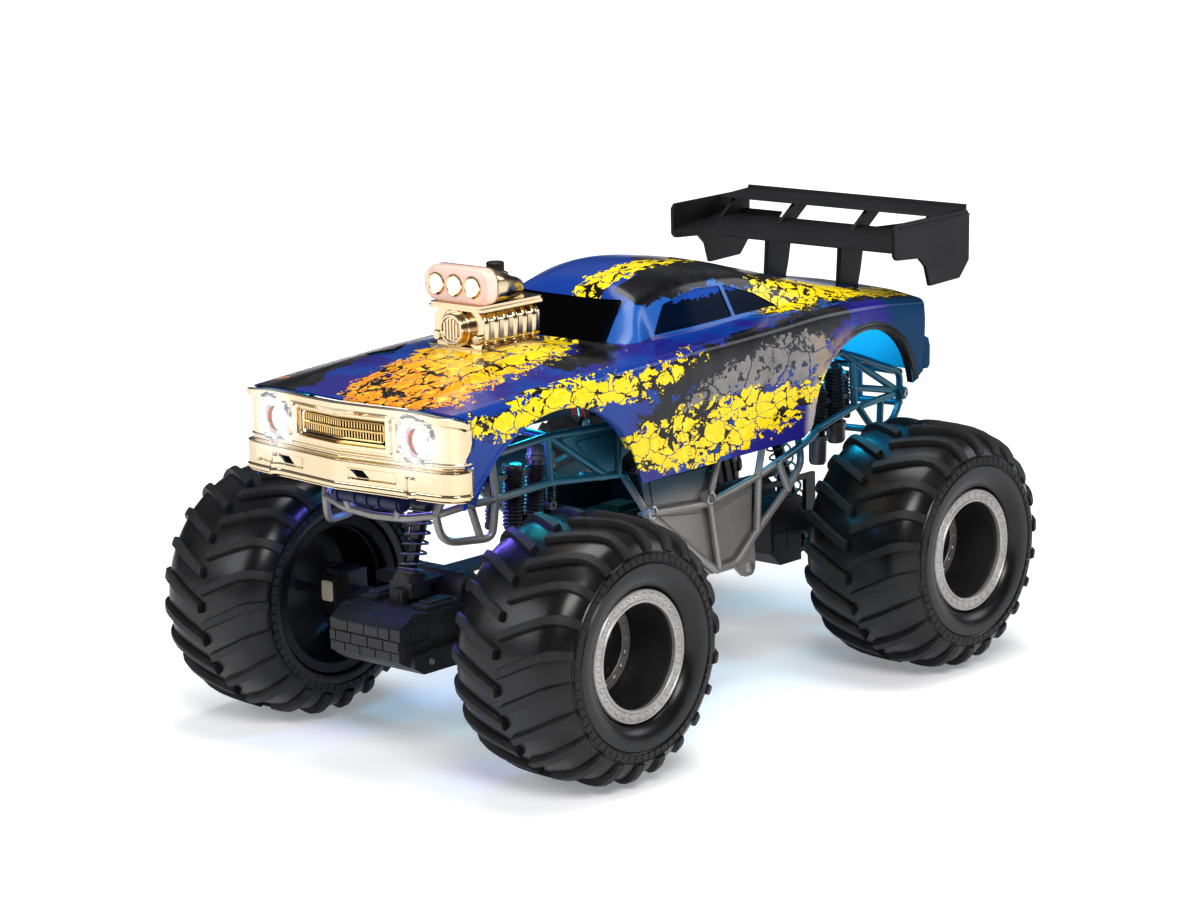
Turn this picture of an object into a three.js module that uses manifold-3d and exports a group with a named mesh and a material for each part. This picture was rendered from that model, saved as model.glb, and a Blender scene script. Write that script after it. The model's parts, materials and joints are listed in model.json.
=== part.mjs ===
// Radio-controlled monster truck with a printed muscle-car shell, a tube frame,
// two live axles on central coil-over shocks, four paddle-tread wheels and steering.
// Millimetres, +X forward, +Y to the truck's left, +Z up, tyres standing on z = 0.
import * as THREE from 'three';
import { mergeVertices } from 'three/addons/utils/BufferGeometryUtils.js';
import Module from 'manifold-3d';

const wasm = await Module();
wasm.setup();

// Driving dimensions
const WHEELBASE = 324;
const TRACK = 249;
const TYRE_RADIUS = 80;
const TYRE_HALF_WIDTH = 46.7;
const GAP = 0.3;
const WALL = 2.2;
const AXLE_X = WHEELBASE / 2;
const WHEEL_Y = TRACK / 2;
const AXLE_Z = TYRE_RADIUS;
const NOSE_X = 242;
const WING_TAIL_X = -256.5;
const CENTRE_SHIFT = -(NOSE_X + WING_TAIL_X) / 2;
const KINGPIN_Y = 86;
const STEER_ARM = 22;
const BODY_HALF_WIDTH = 89;
const BODY_FRONT = 214;
const BODY_REAR = -216;
const TUBE = 2.4;
const FRONT_SHOCK_TOP = [168.5, 0, 152];
const FRONT_SHOCK_FOOT = [182, 0, 109];
const REAR_SHOCK_TOP = [-160, 0, 150];
const REAR_SHOCK_FOOT = [-187, 0, 82];
const SHAFT_RADIUS = 2.5;
const SPRING_RADIUS = 8.4;
const GEAR_TEETH = 24;
const PINION_TEETH = 6;
const GEAR_MODULE = 1.5;

// Finishes
const FINISH = {
  paint: [0x2440b8, 0.22, 0.1],
  glass: [0x10151f, 0.12, 0.0],
  gold: [0xe6cf9a, 0.16, 1.0],
  lamp: [0xf2f6ff, 0.08, 0.0],
  pink: [0xf0c4b8, 0.1, 0.0],
  black: [0x17181a, 0.5, 0.0],
  satin: [0x202124, 0.38, 0.0],
  frame: [0x7f7b78, 0.36, 0.55],
  silver: [0xb9bbbe, 0.28, 0.9],
  steel: [0x8d9094, 0.3, 1.0],
  rubber: [0x18181a, 0.72, 0.0],
  board: [0x1d5a36, 0.5, 0.0],
  nylon: [0xd9d4c4, 0.5, 0.0],
  red: [0xa81f1c, 0.4, 0.0],
};

const truck = new THREE.Group();
truck.name = 'rc_monster_truck';

// Closed solid from any three.js geometry
function solid(geometry) {
  const bare = geometry.index ? geometry.toNonIndexed() : geometry.clone();
  bare.deleteAttribute('normal');
  bare.deleteAttribute('uv');
  const merged = mergeVertices(bare, 1e-4);
  const mesh = new wasm.Mesh({
    numProp: 3,
    vertProperties: new Float32Array(merged.attributes.position.array),
    triVerts: new Uint32Array(merged.index.array),
  });
  return new wasm.Manifold(mesh);
}

function union(...solids) {
  return solids.reduce((whole, next) => whole.add(next));
}

function addPiece(name, shape, finish, tolerance = 0.08) {
  const mesh = shape.simplify(tolerance).translate([CENTRE_SHIFT, 0, 0]).getMesh();
  const geometry = new THREE.BufferGeometry();
  geometry.setAttribute('position', new THREE.BufferAttribute(mesh.vertProperties, 3));
  geometry.setIndex(new THREE.BufferAttribute(mesh.triVerts, 1));
  geometry.computeVertexNormals();
  const [color, roughness, metalness] = FINISH[finish];
  const material = new THREE.MeshStandardMaterial({ color, roughness, metalness });
  const piece = new THREE.Mesh(geometry, material);
  piece.name = name;
  truck.add(piece);
}

function addPair(name, shape, finish) {
  addPiece(`${name}_left`, shape, finish);
  addPiece(`${name}_right`, shape.mirror([0, 1, 0]), finish);
}

function both(shape) {
  return shape.add(shape.mirror([0, 1, 0]));
}

// Box between two x, two y and two z
function block(x0, x1, y0, y1, z0, z1) {
  const geometry = new THREE.BoxGeometry(x1 - x0, y1 - y0, z1 - z0);
  geometry.translate((x0 + x1) / 2, (y0 + y1) / 2, (z0 + z1) / 2);
  return solid(geometry);
}

// Round bar from one point to another
function rod(from, to, radius, sides = 8) {
  const start = new THREE.Vector3(...from);
  const end = new THREE.Vector3(...to);
  const length = start.distanceTo(end);
  const geometry = new THREE.CylinderGeometry(radius, radius, length, sides);
  geometry.translate(0, length / 2, 0);
  const turn = new THREE.Quaternion();
  turn.setFromUnitVectors(new THREE.Vector3(0, 1, 0), end.sub(start).normalize());
  geometry.applyQuaternion(turn);
  geometry.translate(...from);
  return solid(geometry);
}

// Ring turned from [radius, distance along] points, standing on an axis
function turned(profile, from, to, sides) {
  const points = profile.map(([radius, along]) => new THREE.Vector2(radius, along));
  const geometry = new THREE.LatheGeometry(points, sides);
  const start = new THREE.Vector3(...from);
  const turn = new THREE.Quaternion();
  const way = new THREE.Vector3(...to).sub(start).normalize();
  turn.setFromUnitVectors(new THREE.Vector3(0, 1, 0), way);
  geometry.applyQuaternion(turn);
  geometry.translate(...from);
  const whole = solid(geometry);
  return whole.volume() < 0 ? solid(flipped(geometry)) : whole;
}

function flipped(geometry) {
  const bare = geometry.toNonIndexed();
  const position = bare.attributes.position;
  for (let corner = 0; corner < position.count; corner += 3) {
    const first = new THREE.Vector3().fromBufferAttribute(position, corner);
    const last = new THREE.Vector3().fromBufferAttribute(position, corner + 2);
    position.setXYZ(corner, last.x, last.y, last.z);
    position.setXYZ(corner + 2, first.x, first.y, first.z);
  }
  return bare;
}

// Flat outline pushed along one axis
function extruded(points, depth) {
  const shape = new THREE.Shape(points.map(([a, b]) => new THREE.Vector2(a, b)));
  return new THREE.ExtrudeGeometry(shape, { depth, bevelEnabled: false });
}

function plateY(points, y0, y1) {
  const geometry = extruded(points, y1 - y0);
  geometry.rotateX(Math.PI / 2);
  geometry.translate(0, y1, 0);
  return solid(geometry);
}

function plateZ(points, z0, z1) {
  const geometry = extruded(points, z1 - z0);
  geometry.translate(0, 0, z0);
  return solid(geometry);
}

function plateX(points, x0, x1) {
  const geometry = extruded(points, x1 - x0);
  const across = new THREE.Vector3(0, 1, 0);
  const up = new THREE.Vector3(0, 0, 1);
  const along = new THREE.Vector3(1, 0, 0);
  geometry.applyMatrix4(new THREE.Matrix4().makeBasis(across, up, along));
  geometry.translate(x0, 0, 0);
  return solid(geometry);
}

// Arc points in a plane, angles in degrees
function arc(cx, cz, radius, start, end, steps) {
  const points = [];
  for (let step = 0; step <= steps; step += 1) {
    const angle = THREE.MathUtils.degToRad(start + ((end - start) * step) / steps);
    points.push([cx + radius * Math.cos(angle), cz + radius * Math.sin(angle)]);
  }
  return points;
}

// Tube frame: bars through each chain of points
function tubes(chains, radius = TUBE) {
  const pieces = [];
  for (const chain of chains) {
    for (let index = 0; index + 1 < chain.length; index += 1) {
      pieces.push(rod(chain[index], chain[index + 1], radius * 1.1, 4));
    }
  }
  return union(...pieces);
}

// Skin between matching rings of points, capped at both ends
function loft(rings) {
  const count = rings[0].length;
  const corners = rings.flat(2);
  const faces = [];
  for (let ring = 0; ring + 1 < rings.length; ring += 1) {
    for (let index = 0; index < count; index += 1) {
      const next = (index + 1) % count;
      const a = ring * count + index;
      const b = ring * count + next;
      const c = a + count;
      const d = b + count;
      faces.push(a, b, d, a, d, c);
    }
  }
  const last = (rings.length - 1) * count;
  for (let index = 1; index + 1 < count; index += 1) {
    faces.push(0, index + 1, index);
    faces.push(last, last + index, last + index + 1);
  }
  const geometry = new THREE.BufferGeometry();
  geometry.setAttribute('position', new THREE.Float32BufferAttribute(corners, 3));
  geometry.setIndex(faces);
  const whole = solid(geometry);
  return whole.volume() < 0 ? solid(flipped(geometry)) : whole;
}

// Lower body sections: x, shoulder height, crown height, half width
const HULL = [
  [BODY_FRONT, 222, 224.5, 0.985],
  [150, 225.5, 236, 1.0],
  [110, 227.5, 238.5, 1.0],
  [60, 229, 233, 1.0],
  [-60, 232.5, 236, 1.0],
  [-110, 234.5, 240, 1.0],
  [-165, 233, 238, 1.0],
  [BODY_REAR, 228.5, 233, 0.98],
];

// Cabin sections: x, roof edge half width and height, crown height
const CABIN = [
  [61, 55, 229.5, 231.5],
  [44, 54, 243, 250],
  [24, 47.5, 257.5, 267.5],
  [-14, 50, 263.5, 273.5],
  [-60, 51, 261.5, 268.5],
  [-95, 54, 252, 260],
  [-143, 60, 240, 247.5],
  [-190, 66, 232, 236],
];

const BODY_BOTTOM = 150;

function hull(inset) {
  const rings = HULL.map(([x, shoulder, crown, wide], index) => {
    const half = BODY_HALF_WIDTH * wide - inset;
    const low = inset > 0 ? BODY_BOTTOM - 10 : BODY_BOTTOM;
    const end = index === 0 ? -inset : index === HULL.length - 1 ? inset : 0;
    const side = [
      [half - 2.5, low],
      [half - 2, 186],
      [half, shoulder - 12],
      [half - 1, shoulder - 4 - inset * 0.4],
      [half - 6, shoulder - inset],
      [half - 30, (shoulder + crown) / 2 + 1 - inset],
      [22, crown - inset],
    ];
    const mirrored = side.map(([y, z]) => [-y, z]).reverse();
    return side.concat(mirrored).map(([y, z]) => [x + end, y, z]);
  });
  return loft(rings);
}

function cabin(inset) {
  const rings = CABIN.map(([x, edge, height, crown], index) => {
    const low = 226 - (inset > 0 ? 6 : 0);
    const last = CABIN.length - 1;
    const end = index <= 2 ? -inset * 1.3 : index === last ? inset * 3 : 0;
    const foot = Math.min(72, edge + 14);
    const side = [
      [foot - inset, low],
      [foot - 2 - inset, Math.min(233, height - 0.5) - inset * 0.3],
      [edge + 1.5 - inset, height - inset * 0.9],
      [edge - 6, height + (crown - height) * 0.35 - inset],
      [18, crown - inset],
    ];
    const mirrored = side.map(([y, z]) => [-y, z]).reverse();
    return side.concat(mirrored).map(([y, z]) => [x + end, y, z]);
  });
  return loft(rings);
}

// Everything below the body's lower edge, with both wheel arches
function underBody() {
  const frontArch = arc(142, 137, 76.2, 23.4, 147.8, 11);
  const rearArch = arc(-152.7, 163.4, 53.8, 0, 168.6, 10);
  const outline = [
    [260, 100],
    [260, 167.3],
    ...frontArch,
    [68, 155.2],
    [-88, 157],
    ...rearArch,
    [-217, 181],
    [-260, 181],
    [-260, 100],
  ];
  return plateY(outline, -120, 120);
}

const SIDE_WINDOWS = [
  [[23, 237], [-49, 239], [-43, 257.2], [13, 251]],
  [[-56, 239.2], [-90, 240.2], [-50, 257]],
];
const SCREEN = [[-50, 235.5], [50, 235.5], [42, 256], [-42, 256]];

function windowCuts() {
  const cuts = SIDE_WINDOWS.map((outline) => plateY(outline, -80, 80));
  return union(plateX(SCREEN, 14, 80), ...cuts);
}

// Raised lip round each wheel arch: outer arc out, inner arc back
function archLips() {
  const bands = [[142, 137, 76.2, 26, 146], [-152.7, 163.4, 53.8, 4, 167]].map((values) => {
    const [x, z, radius, start, end] = values;
    const outer = arc(x, z, radius + 3.5, start, end, 9);
    const inner = arc(x, z, radius + 0.2, end, start, 9);
    return plateY([...outer, ...inner], BODY_HALF_WIDTH - 3.2, BODY_HALF_WIDTH + 1);
  });
  return both(union(...bands));
}

function bodyShell() {
  const skin = union(hull(0), cabin(0)).subtract(hull(WALL)).subtract(cabin(WALL));
  const rearBumper = block(-225, -215, -86, 86, 181, 204);
  const bumperHollow = block(-222.5, -212, -80, 80, 170, 201.5);
  const tail = skin.add(rearBumper).subtract(bumperHollow);
  const strutPads = both(block(-219, -196, 27.5, 34.5, 231, 236.5));
  const blowerSeat = block(84, 138, -24, 24, 231, 239);
  return tail
    .subtract(underBody())
    .subtract(windowCuts())
    .add(archLips())
    .add(strutPads)
    .add(blowerSeat);
}

function windowInsert() {
  const liner = cabin(WALL + GAP).subtract(cabin(WALL + GAP + 1.6));
  const keep = block(-106, 70, -80, 80, 236.5, 280);
  return liner.intersect(keep);
}

// Front fascia: V shaped in plan, one wall thick, hollow at the back
const FASCIA_TOP = 221.5;
const FASCIA_BREAK = 190;
const FASCIA_BOTTOM = 171.5;
const LAMP_Y = 59;
const LAMP_Z = 205.3;
const LAMP_RADIUS = 10.8;

function fasciaPlan(out) {
  const half = [
    [BODY_FRONT + GAP, BODY_HALF_WIDTH - 1.5 + out],
    [222 + out, BODY_HALF_WIDTH - 2 + out],
    [228 + out, 83 + out * 0.5],
    [233 + out, 40],
  ];
  const mirrored = half.map(([x, y]) => [x, -y]).reverse();
  return [...half, [237.5 + out, 0], ...mirrored];
}

function frontFascia() {
  const upper = plateZ(fasciaPlan(0), FASCIA_BREAK, FASCIA_TOP);
  const bumper = plateZ(fasciaPlan(3.4), FASCIA_BOTTOM, FASCIA_BREAK);
  const pan = plateZ(fasciaPlan(-3), FASCIA_BOTTOM - 5, FASCIA_TOP - 2.4);
  const grille = block(228, 260, -37, 37, 198.6, 215.4);
  const lamps = both(rod([200, LAMP_Y, LAMP_Z], [250, LAMP_Y, LAMP_Z], LAMP_RADIUS + GAP, 24));
  const slots = both(block(232, 260, 12, 31, 177, 181));
  return union(upper, bumper).subtract(pan).subtract(grille).subtract(lamps).subtract(slots);
}

function grilleInsert() {
  const frame = block(226, 229.4, -36, 36, 199.4, 214.6);
  const slats = [];
  for (let index = -3; index <= 3; index += 1) {
    slats.push(block(228.8, 231.4, index * 10 - 1, index * 10 + 1, 199.4, 214.6));
  }
  const bar = block(228.8, 232.4, -36, 36, 206, 208);
  return union(frame, bar, ...slats);
}

function headlight() {
  const profile = [[0, 0], [LAMP_RADIUS, 0], [LAMP_RADIUS, 5], [7.5, 7.4], [0, 8.4]];
  return turned(profile, [223.2, LAMP_Y, LAMP_Z], [260, LAMP_Y, LAMP_Z], 24);
}

// Supercharger case with ribs, top plate and round front cover
function blowerCase() {
  const seat = 239 + GAP;
  const outline = [[-15, seat], [15, seat], [21.5, 246], [21.5, 257], [16, 263], [-16, 263],
    [-21.5, 257], [-21.5, 246]];
  const ribs = [];
  for (let index = 0; index < 5; index += 1) {
    const x = 89 + index * 10;
    const rib = outline.map(([y, z]) => [y * 1.06, z > 250 ? z + 0.6 : Math.max(seat, z)]);
    ribs.push(plateX(rib, x - 1.1, x + 1.1));
  }
  const core = plateX(outline, 84, 133);
  const plate = block(80, 137, -23, 23, 263, 266);
  const neck = block(90, 124, -14, 14, 265.5, 266.5);
  const cover = rod([132, 0, 251], [139.5, 0, 251], 9.5, 20);
  const legs = both(block(133, 138.5, 4, 8, 240 + GAP, 250));
  return union(core, plate, neck, cover, legs, ...ribs);
}

const SCOOP_LOW = 266.5 + GAP;

function scoopRing(x, half, low, high) {
  const round = Math.min((high - low) / 2, 12);
  const side = [
    [half - round, low],
    [half - round * 0.3, low + round * 0.3],
    [half, (low + high) / 2],
    [half - round * 0.3, high - round * 0.3],
    [half - round, high],
  ];
  const mirrored = side.map(([y, z]) => [-y, z]).reverse();
  return side.concat(mirrored).map(([y, z]) => [x, y, z]);
}

function intakeScoop() {
  const outer = loft([
    scoopRing(93, 17, SCOOP_LOW, 278),
    scoopRing(106, 22, SCOOP_LOW, 281),
    scoopRing(118, 26, SCOOP_LOW, 287),
    scoopRing(126, 27, 267, 289),
  ]);
  const mouth = loft([scoopRing(110, 18, 270, 280), scoopRing(130, 25, 269, 287)]);
  const knobSeat = rod([100, 0, 274], [100, 0, 281.2], 6.5, 12);
  const knobBore = rod([100, 0, 277], [100, 0, 290], 3.2, 10);
  return outer.subtract(mouth).add(knobSeat).subtract(knobBore);
}

function scoopLens() {
  const shell = loft([scoopRing(126 + GAP, 27, 267, 289), scoopRing(135.5, 26.2, 267.4, 288.4)]);
  const hollow = loft([scoopRing(125, 24.6, 269.4, 286.8), scoopRing(133, 24, 269.8, 286.4)]);
  const bulbs = [-15, 0, 15].map((y) => rod([124, y, 278], [134, y, 278], 5.2, 14));
  return union(shell.subtract(hollow), ...bulbs);
}

function scoopKnob() {
  const cap = rod([100, 0, 281.2 + GAP], [100, 0, 286.4], 5.4, 8);
  const stem = rod([100, 0, 277 + GAP], [100, 0, 283], 2.9, 10);
  return union(cap, stem);
}

// Rear wing: two end plates, lower plane, top plane, struts
function rearWing() {
  const plateOutline = [
    [-174.2, 283.1], [-256.5, 284], [-247.5, 239.4], [-212.3, 238.3], [-208, 252],
    [-201, 258.5], [-175, 259.8],
  ];
  const ends = both(plateY(plateOutline, 93, 95.6));
  const lowerOutline = [[-174.5, 263.5], [-174.5, 266.3], [-205, 269.4], [-241, 272.5],
    [-241, 270], [-205, 266.6]];
  const lower = plateY(lowerOutline, -93.5, 93.5);
  const upperOutline = [[-216, 280.4], [-216, 283], [-256, 284], [-256, 281.4]];
  const upper = plateY(upperOutline, -93.5, 93.5);
  const strutOutline = [[-197, 236.5 + GAP], [-217, 236.5 + GAP], [-227, 270.5], [-200, 268]];
  const struts = both(plateY(strutOutline, 29.5, 32.5));
  const uprightOutline = [[-230, 270], [-241, 271.5], [-243, 282.5], [-231, 282.5]];
  const uprights = both(plateY(uprightOutline, 29.8, 32.2));
  return union(ends, lower, upper, struts, uprights);
}

// Side frame: lower loop, waist rail, uprights, bolt bosses and corner gusset
const SIDE_Y = 75;

function sideFrame() {
  const at = (x, z) => [x, SIDE_Y, z];
  const chains = [
    [at(-14, 83), at(-34, 83), at(-54, 100), at(-87, 122), at(-107, 135), at(-108, 151)],
    [at(50, 131), at(-8, 127), at(-57, 136), at(-118, 146)],
    [at(50, 131), at(-14, 83)],
    [at(-9, 127), at(-17, 83)],
    [at(-57, 134), at(-55, 101)],
    [at(-78, 140), at(-87, 122)],
    [at(-8, 128), at(-17, 152.5)],
    [at(-56, 135), at(-61, 152.5)],
    [at(-108, 151), [-108, 62, 163]],
    [at(50, 131), [56, 62, 153.5]],
    [[-108, 62, 163], [-108, 62, 186]],
    [at(-118, 146), [-132, 62, 150]],
  ];
  const bosses = [[-7, 131], [48, 132]].map(([x, z]) => {
    return rod([x, SIDE_Y - 2, z], [x, SIDE_Y + 3.4, z], 3.8, 12);
  });
  const gussetOutline = [[-32, 82], [-41, 73.5], [-48, 73.5], [-51, 78], [-50, 97]];
  const gusset = plateY(gussetOutline, SIDE_Y - 1.2, SIDE_Y + 1.2);
  const boss = rod([-45, SIDE_Y - 2, 79], [-45, SIDE_Y + 2.4, 79], 3, 12);
  return union(tubes(chains), ...bosses, gusset, boss);
}

// Panel behind the side frame, folded in to meet the tub
function sidePlate() {
  const outline = [[53, 156], [47, 131], [-13, 79.5], [-34, 79.5], [-53.5, 97], [-55, 132],
    [-9, 124], [-15, 156]];
  const face = plateY(outline, 69.6, 71.8);
  const web = block(-28, 28, 46.5, 70.4, 122, 124.2);
  return union(face, web);
}

const HOOP_X = 210;
const DRUM_X = 212;
const DRUM_Z = 161;

// Front cage: upper rails, arch posts, lower hoop and nose bar
function frontFrame() {
  const hoopBend = [205, 46.4, 155.3];
  const rails = [
    [[60, 62, 188], [122, 60, 190], [168, 57, 186], [196, 52, 178]],
    [[62, 62, 156.5], [121, 60, 162], [168, 60, 160]],
    [[74, 61, 157], [92, 60, 161]],
    [[122, 60, 190], [121, 60, 162]],
    [[122, 60, 190], [73, 61, 158]],
    [[168, 57, 186], [168, 60, 160]],
    [[196, 52, 178], hoopBend],
    [[168, 60, 160], [190, 57, 160], hoopBend, [209, 25.6, 151.2], [HOOP_X, 0, 150]],
    [hoopBend, [203, 47.6, 143.2], [198, 50.5, 138.3], [171, 59, 137], [168, 60, 160]],
    [[180, 51, 156], [178, 56, 138]],
    [[122, 60, 190], [122, 0, 194]],
    [[168, 57, 186], [168, 0, 190]],
    [[62, 62, 156.5], [60, 62, 188]],
  ];
  const panel = plateY([[60, 157], [60, 186], [71, 186], [72, 158]], 60, 62);
  const nose = both(rod([HOOP_X, 20, 151], [DRUM_X, 23, DRUM_Z], TUBE, 6));
  const shockMount = block(150, 171, -11, 11, 181, 190);
  const bodyPost = rod([196, 0, 178], [196, 0, 190], 3, 10);
  const crossbar = tubes([[[196, 52, 178], [196, 0, 178]]]);
  const half = union(tubes(rails), panel);
  return union(both(half), nose, both(crossbar), shockMount, bodyPost);
}

function rearFrame() {
  const rails = [
    [[-108, 62, 188.8], [-160, 60, 199], [-188, 58, 190]],
    [[-160, 60, 199], [-226, 58, 162], [-228, 58, 154], [-219, 58, 142]],
    [[-188, 58, 190], [-228, 58, 175], [-228, 58, 154]],
    [[-174, 60, 173], [-218, 58, 164]],
    [[-183, 60, 159], [-226, 58, 161]],
    [[-180, 60, 159], [-199, 58, 140], [-219, 58, 142]],
    [[-174, 60, 190], [-176, 60, 160]],
    [[-134.5, 62, 152], [-176, 60, 160]],
    [[-207, 58, 160], [-206, 58, 145]],
    [[-160, 60, 199], [-160, 0, 199]],
    [[-228, 58, 154], [-228, 0, 152]],
    [[-199, 58, 140], [-199, 0, 138]],
    [[-228, 58, 175], [-228, 0, 176]],
    [[-228, 24, 176], [-228, 24, 153]],
  ];
  const panel = plateY([[-163, 190], [-176, 190], [-214, 178], [-214, 164.5], [-176, 174]], 59, 61);
  const knob = rod([-227, 56, 161], [-227, 63, 161], 3.6, 12);
  const shockMount = block(-163, -136, -11, 11, 186, 202);
  return union(both(union(tubes(rails), panel, knob)), shockMount);
}

// Ribbed drum across the nose
function noseDrum() {
  const at = (y) => [DRUM_X, y, DRUM_Z];
  const core = rod(at(-28), at(28), 4.6, 8);
  const bands = [-10, 10].map((y) => rod(at(y - 1.2), at(y + 1.2), 5.4, 8));
  const feet = both(rod(at(24), at(26), 6, 8));
  const saddle = both(rod([HOOP_X, 20, 151], [DRUM_X, 23, DRUM_Z], TUBE + GAP, 6));
  return union(core, ...bands, feet).subtract(saddle);
}

// Dummy twin shocks hang from the cage at each corner
function dummyShock(x, y, top, low, radius, lean) {
  const length = top - low;
  const profile = [
    [0, 0], [radius * 0.8, 0], [radius, length * 0.12], [radius, length * 0.93],
    [radius * 0.7, length], [0, length],
  ];
  return turned(profile, [x + lean, y, low], [x, y, top], 8);
}

function frontDummyShocks() {
  return union(
    dummyShock(162, 49.5, 161, 141, 3.2, 0),
    dummyShock(143, 51, 176, 135, 6, 2),
    dummyShock(121, 50, 184, 140, 6, 5),
    dummyShock(109, 50, 178, 144, 3, 1),
    block(104, 165, 47.5, 52.5, 168, 171),
    block(158, 165, 47.5, 52.5, 158, 171),
  );
}

function rearDummyShocks() {
  return union(
    dummyShock(-147, 50.5, 170, 126, 6, 2),
    dummyShock(-161, 49, 187, 138, 6, -3),
    dummyShock(-177, 48, 180, 150, 3.2, -2),
    block(-179, -145, 47, 52, 164, 167),
  );
}

// Chassis tub with a battery bay below and an electronics bay above
const TUB_BOTTOM = 79.5;
const TUB_TOP = 126;
const TUB_FLOOR = 101;
const TUB_FRONT = 47;
const TUB_REAR = -52;
const DOOR_Z = TUB_BOTTOM + 0.2;

function chassisTub() {
  const outer = block(TUB_REAR, TUB_FRONT, -46, 46, TUB_BOTTOM, TUB_TOP);
  const upperBay = block(TUB_REAR + 2.5, TUB_FRONT - 2.5, -43.5, 43.5, TUB_FLOOR + 2.5, 140);
  const batteryBay = block(-45, 38, -25, 25, 60, TUB_FLOOR);
  const chamfers = both(plateX([[46.1, 79], [46.1, 92], [37, 79]], TUB_REAR - 1, TUB_FRONT + 1));
  const frontGuide = both(block(TUB_FRONT - 1, 76, 9.5, 13, 92, 126));
  const rearGuide = both(block(-92, TUB_REAR + 1, 9.5, 13, 95, 126));
  const doorSeat = block(-50, 43, -28.4, 28.4, 70, DOOR_Z + 2.6);
  const switchSlot = block(-31, -22, 29.6, 35.4, 70, 88);
  const shelves = both(block(-30, 30, 43, 46.2, 120, 126));
  return union(outer.subtract(upperBay).subtract(batteryBay).subtract(chamfers),
    frontGuide, rearGuide, shelves).subtract(doorSeat).subtract(switchSlot);
}

function batteryDoor() {
  const panel = block(-46, 42.6, -28, 28, DOOR_Z, DOOR_Z + 2.3);
  const hinge = rod([-48, -24, DOOR_Z + 1.2], [-48, 24, DOOR_Z + 1.2], 1.2, 8);
  const web = block(-48, -45, -22, 22, DOOR_Z + 0.4, DOOR_Z + 2);
  return union(panel, hinge, web);
}

function batteryPack() {
  const cells = [-15.6, 0, 15.6].map((y) => rod([-42, y, 91.8], [35, y, 91.8], 8.2, 12));
  return union(...cells, block(-38, 31, -16, 16, 88, 96));
}

function circuitBoard() {
  const board = block(-40, 36, -34, 34, 107, 108.6);
  const parts = [
    block(-30, -12, -20, -4, 108.4, 114),
    block(4, 22, 6, 20, 108.4, 112),
    rod([28, -18, 108.4], [28, -18, 118], 4, 10),
  ];
  const feet = [[-36, -30], [-36, 30], [32, -30], [32, 30]].map(([x, y]) => {
    return rod([x, y, TUB_FLOOR + 2.5 + GAP], [x, y, 107.4], 2.4, 6);
  });
  return union(board, ...parts, ...feet);
}

function powerSwitch() {
  return union(block(-30.6, -27, 30, 35, 80.2, 86), block(-29.6, -28, 31, 34, 77, 81));
}

// Coil-over shock: cup and cylinder on the cage, shaft and foot on the cradle
function along(from, to, distance) {
  const start = new THREE.Vector3(...from);
  const way = new THREE.Vector3(...to).sub(start).normalize();
  return start.addScaledVector(way, distance).toArray();
}

function shockBody(top, foot, mountZ) {
  const rise = (mountZ - top[2]) / (top[2] - foot[2]);
  const head = top.map((value, index) => value + (value - foot[index]) * rise);
  const cylinder = turned([
    [SHAFT_RADIUS + 0.5, 24], [5, 24], [5, 6], [SPRING_RADIUS + 1, 6], [SPRING_RADIUS + 1, 0],
    [4, 0], [4, -8], [0, -8], [0, 3], [SHAFT_RADIUS + 0.5, 3], [SHAFT_RADIUS + 0.5, 24],
  ], top, foot, 16);
  return union(cylinder, rod(along(top, foot, -4), along(head, foot, 2), 5, 12));
}

function shockShaft(top, foot) {
  const length = Math.hypot(top[0] - foot[0], top[2] - foot[2]);
  return turned([
    [0, 0], [SPRING_RADIUS + 1, 0], [SPRING_RADIUS + 1, 2.2], [SHAFT_RADIUS + 1.2, 3],
    [SHAFT_RADIUS, 5], [SHAFT_RADIUS, length - 14], [0, length - 14],
  ], foot, top, 12);
}

function coilSpring(top, foot, coils) {
  const length = Math.hypot(top[0] - foot[0], top[2] - foot[2]);
  const low = 2.2 + GAP;
  const high = length - 6 - GAP;
  const wire = 0.75;
  class Helix extends THREE.Curve {
    getPoint(t) {
      const angle = t * coils * Math.PI * 2;
      const radius = SPRING_RADIUS - wire;
      const rise = low + wire + (high - low - wire * 2) * t;
      return new THREE.Vector3(radius * Math.cos(angle), radius * Math.sin(angle), rise);
    }
  }
  const shape = new THREE.Shape();
  shape.absarc(0, 0, wire, 0, Math.PI * 2);
  const options = { steps: coils * 8, extrudePath: new Helix(), curveSegments: 3 };
  const geometry = new THREE.ExtrudeGeometry(shape, options);
  const turn = new THREE.Quaternion();
  const way = new THREE.Vector3(...top).sub(new THREE.Vector3(...foot)).normalize();
  turn.setFromUnitVectors(new THREE.Vector3(0, 0, 1), way);
  geometry.applyQuaternion(turn);
  geometry.translate(...foot);
  const whole = solid(geometry);
  return whole.volume() < 0 ? solid(flipped(geometry)) : whole;
}

// Cradles: a saddle under each shock foot with its roll pin, and a guide tongue to the tub
const FRONT_ROLL_Z = 98;
const REAR_ROLL_Z = 66;

function shockSeat(foot, top) {
  const wide = SPRING_RADIUS + 1;
  return turned([[0, -30], [wide, -30], [wide, -GAP], [0, -GAP]], foot, top, 12);
}

function frontCradle() {
  const x = FRONT_SHOCK_FOOT[0];
  const saddle = block(x - 8, x + 8, -9, 9, FRONT_ROLL_Z - 2, 105.4);
  const wedge = block(x - 8, x + 8, -9, 9, FRONT_ROLL_Z, 114);
  const seat = shockSeat(FRONT_SHOCK_FOOT, FRONT_SHOCK_TOP);
  const pin = rod([x - 13, 0, FRONT_ROLL_Z], [x + 13, 0, FRONT_ROLL_Z], 3, 12);
  const tongue = block(60, x, -9, 9, 102.7, 105.4);
  return union(saddle, wedge.intersect(seat), pin, tongue);
}

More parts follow.
